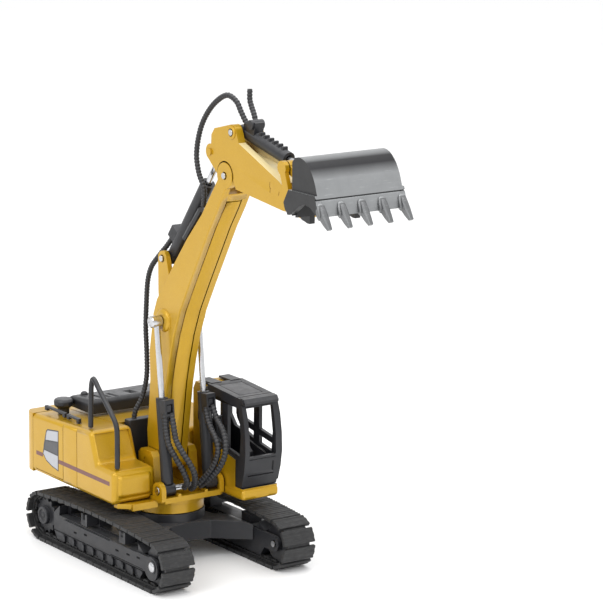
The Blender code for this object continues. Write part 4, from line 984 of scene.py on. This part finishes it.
def build_cylinders():
    """Barrels whose hose blocks have a recessed face, the boom rods, and the bucket cylinder's clips."""
    head = [(2.0, -0.6), (2.3, -0.4), (2.3, 1.1), (1.9, 1.5), (1.6, 1.5), (1.45, 1.2), (0.3, 1.2)]
    for side, tag in SIDES:
        y = side * CYLINDER_Y
        face = block("face", (14.7, 20), (y - 1.35, y + 1.35), (59.4, 63.2))
        plug = block("plug", (14.0, 15.2), (y - 0.9, y + 0.9), (60.0, 62.6))
        neck = block("neck", (13.4, 20), (y - 3, y + 3), (52, 58.6))
        refined(f"boom_barrel_{tag}", 0.35, cuts=[neck, face], adds=[plug])
        refined(f"boom_rod_{tag}", 0.15, adds=[turned("head", head, CYL_EYE, -10.8, -1)] if side < 0 else [])
    run = (Vector(LINK_PIN) - Vector(BUCKET_CYL_FOOT)).normalized()
    up = Vector((-run.y, run.x))

    def place(along, height):
        return Vector(BUCKET_CYL_FOOT) + run * along + up * height

    corner = [tuple(place(a, h)) for a, h in ((0.5, 4.0), (4.4, 4.0), (5.2, 7.5), (0.5, 7.5))]
    adds = [disc("fitting", tuple(place(6.4, 4.9)), 1.8, -2.9, 2.5, 20)]
    for k in range(6):
        at = place(10.6 + 2.9 * k, 2.2)
        corners = [at - run * 0.7, at + run * 0.7, at + run * 0.35 + up * 1.2, at - run * 0.35 + up * 1.2]
        adds.append(prism("clip", [tuple(c) for c in corners], -1.1, 1.1))
    refined("bucket_barrel", 0.5, 3, cuts=[prism("corner", corner, -9, 9)], adds=adds)
    refined("stick_barrel", 0.4)


def loft(name, sections, y):
    """A body through sections given as (x, z, half width, half thickness)."""
    section = ((-1, -1), (0.7, -1), (1, -0.5), (1, 0.5), (0.7, 1), (-1, 1))
    bm = bmesh.new()
    rings = [[bm.verts.new((x + dx * t * 0.80, y + dy * w, z + dx * t * 0.55)) for dx, dy in section]
             for x, z, w, t in sections]
    cap(bm, rings)
    skin(bm, rings)
    return solid(name, bm)


def build_bucket():
    """Shell with flared cheeks, a lip line, and five teeth on rounded adaptors; its side plates and the faces that
    look back or down carry painted shade and a painted dark reflection.
    """
    back = 107.5
    sheet = 1.4
    curve = [(back, 170.0), (109.2, 171.7), (111.4, 172.2), (113.2, 172.05), (114.8, 171.5), (116.3, 170.6),
             (117.7, 169.4), (118.9, 168.1), (120.0, 166.5), (121.0, 164.7), (121.8, 162.6), (122.5, 160.6),
             (123.1, 158.2), (123.7, 155.6), (124.3, 153.2)]
    bucket = prism("bucket", [(back, 150.4)] + curve, -BUCKET_HALF, BUCKET_HALF)
    inner = [(back + sheet, 140.0), (back + sheet, 168.9), (109.8, 170.3), (111.4, 170.7), (114.0, 170.2),
             (116.5, 168.6), (118.6, 166.1), (120.3, 163.0), (121.5, 159.0), (122.3, 155.4), (123.0, 152.6),
             (125.0, 140.0)]
    bucket = cut(bucket, prism("hollow", inner, -BUCKET_HALF + sheet, BUCKET_HALF - sheet))
    cheek = [(106.4, 160.2), (122.5, 160.4), (124.4, 154.0), (123.4, 153.6), (119.7, 156.0), (116.2, 156.6),
             (113.2, 155.6), (110.4, 153.4), (107.6, 151.6), (106.2, 151.4), (104.6, 153.0), (103.6, 155.4)]
    cheeks = [prism("cheek", cheek, low, high)
              for low, high in both_sides(BUCKET_HALF - 1.3, BUCKET_HALF + 0.9)]
    notch = [prism("arch", [(119.7, 156.0), (116.2, 156.6), (113.2, 155.6), (110.4, 153.4), (107.6, 151.6),
                            (105.0, 140.0), (130.0, 140.0), (123.4, 153.6)], low, high)
             for low, high in both_sides(BUCKET_HALF - 1.5, BUCKET_HALF + 3)]
    ear = [(108.0, 147.6), (108.0, 163.0), (106.4, 163.6)] + arc(BUCKET_PINS[1], 3.2, 8, 90, 80)
    ear += arc(BUCKET_PINS[0], 3.2, 8, 190, 80) + [(106.4, 147.6)]
    ears = [prism("ear", ear, low, high) for low, high in both_sides(8.6, 10.8)]
    bores = [bore(pin) for pin in BUCKET_PINS]
    bucket = cut(union(cut(bucket, *notch), *cheeks, *ears), *bores)
    rounded(bucket, 0.32, 2, 35)
    bucket = cut(bucket, block("lip", (122.4, 125), (-20, 20), (158.8, 159.3)))
    adaptor = ((122.5, 157.9, 0.7, 0.5), (123.2, 157.2, 1.5, 0.8), (123.9, 155.4, 1.85, 0.95),
               (124.6, 153.6, 1.85, 0.95), (124.9, 152.5, 1.4, 0.7))
    tooth = ((123.6, 156.7, 0.7, 0.8), (124.4, 155.6, 1.15, 1.3), (125.7, 153.4, 1.3, 1.4),
             (127.6, 151.3, 1.1, 1.0), (129.2, 149.7, 0.8, 0.6))
    spacing = 8.6
    teeth = [rounded(loft("tooth", sections, (k - 2) * spacing), 0.28)
             for k in range(5) for sections in (adaptor, tooth)]
    obj = stand_in("bucket", gather("bucket_and_teeth", [shaded(bucket)] + teeth))
    # painted shade and dark reflection: faces that look sideways, back or down, and the faces low in the back of
    # the shell, take a near-black enamel
    second_paint(obj, PAINTED_SHADE, lambda at, n: at.x < 122.0 and at.z < 171.0
                 and (abs(n.y) > 0.75 or n.x < -0.3 or n.z < -0.3 or at.x < 120.0 and at.z < 158.0))
    second_paint(obj, TOOTH, lambda at, n: at.x > 124.2 or at.x > 123.4 and abs(n.y) > 0.5 and at.z < 157.5)


def build_rest():
    """Every CAD node without a builder of its own, with softened edges."""
    wide = {"hose_manifold": 0.5, "coupler": 0.35, "turntable_ring": 0.3, "cab_seat": 0.7, "cab_mirror": 0.3}
    for node, obj in frame["nodes"].items():
        if not obj.hide_render:
            refined(node, wide.get(node, 0.2))


build_studio()
build_undercarriage()
build_hoses()
build_house()
build_deck()
build_hood()
build_cab()
build_boom()
build_stick()
build_cylinders()
build_bucket()
build_rest()
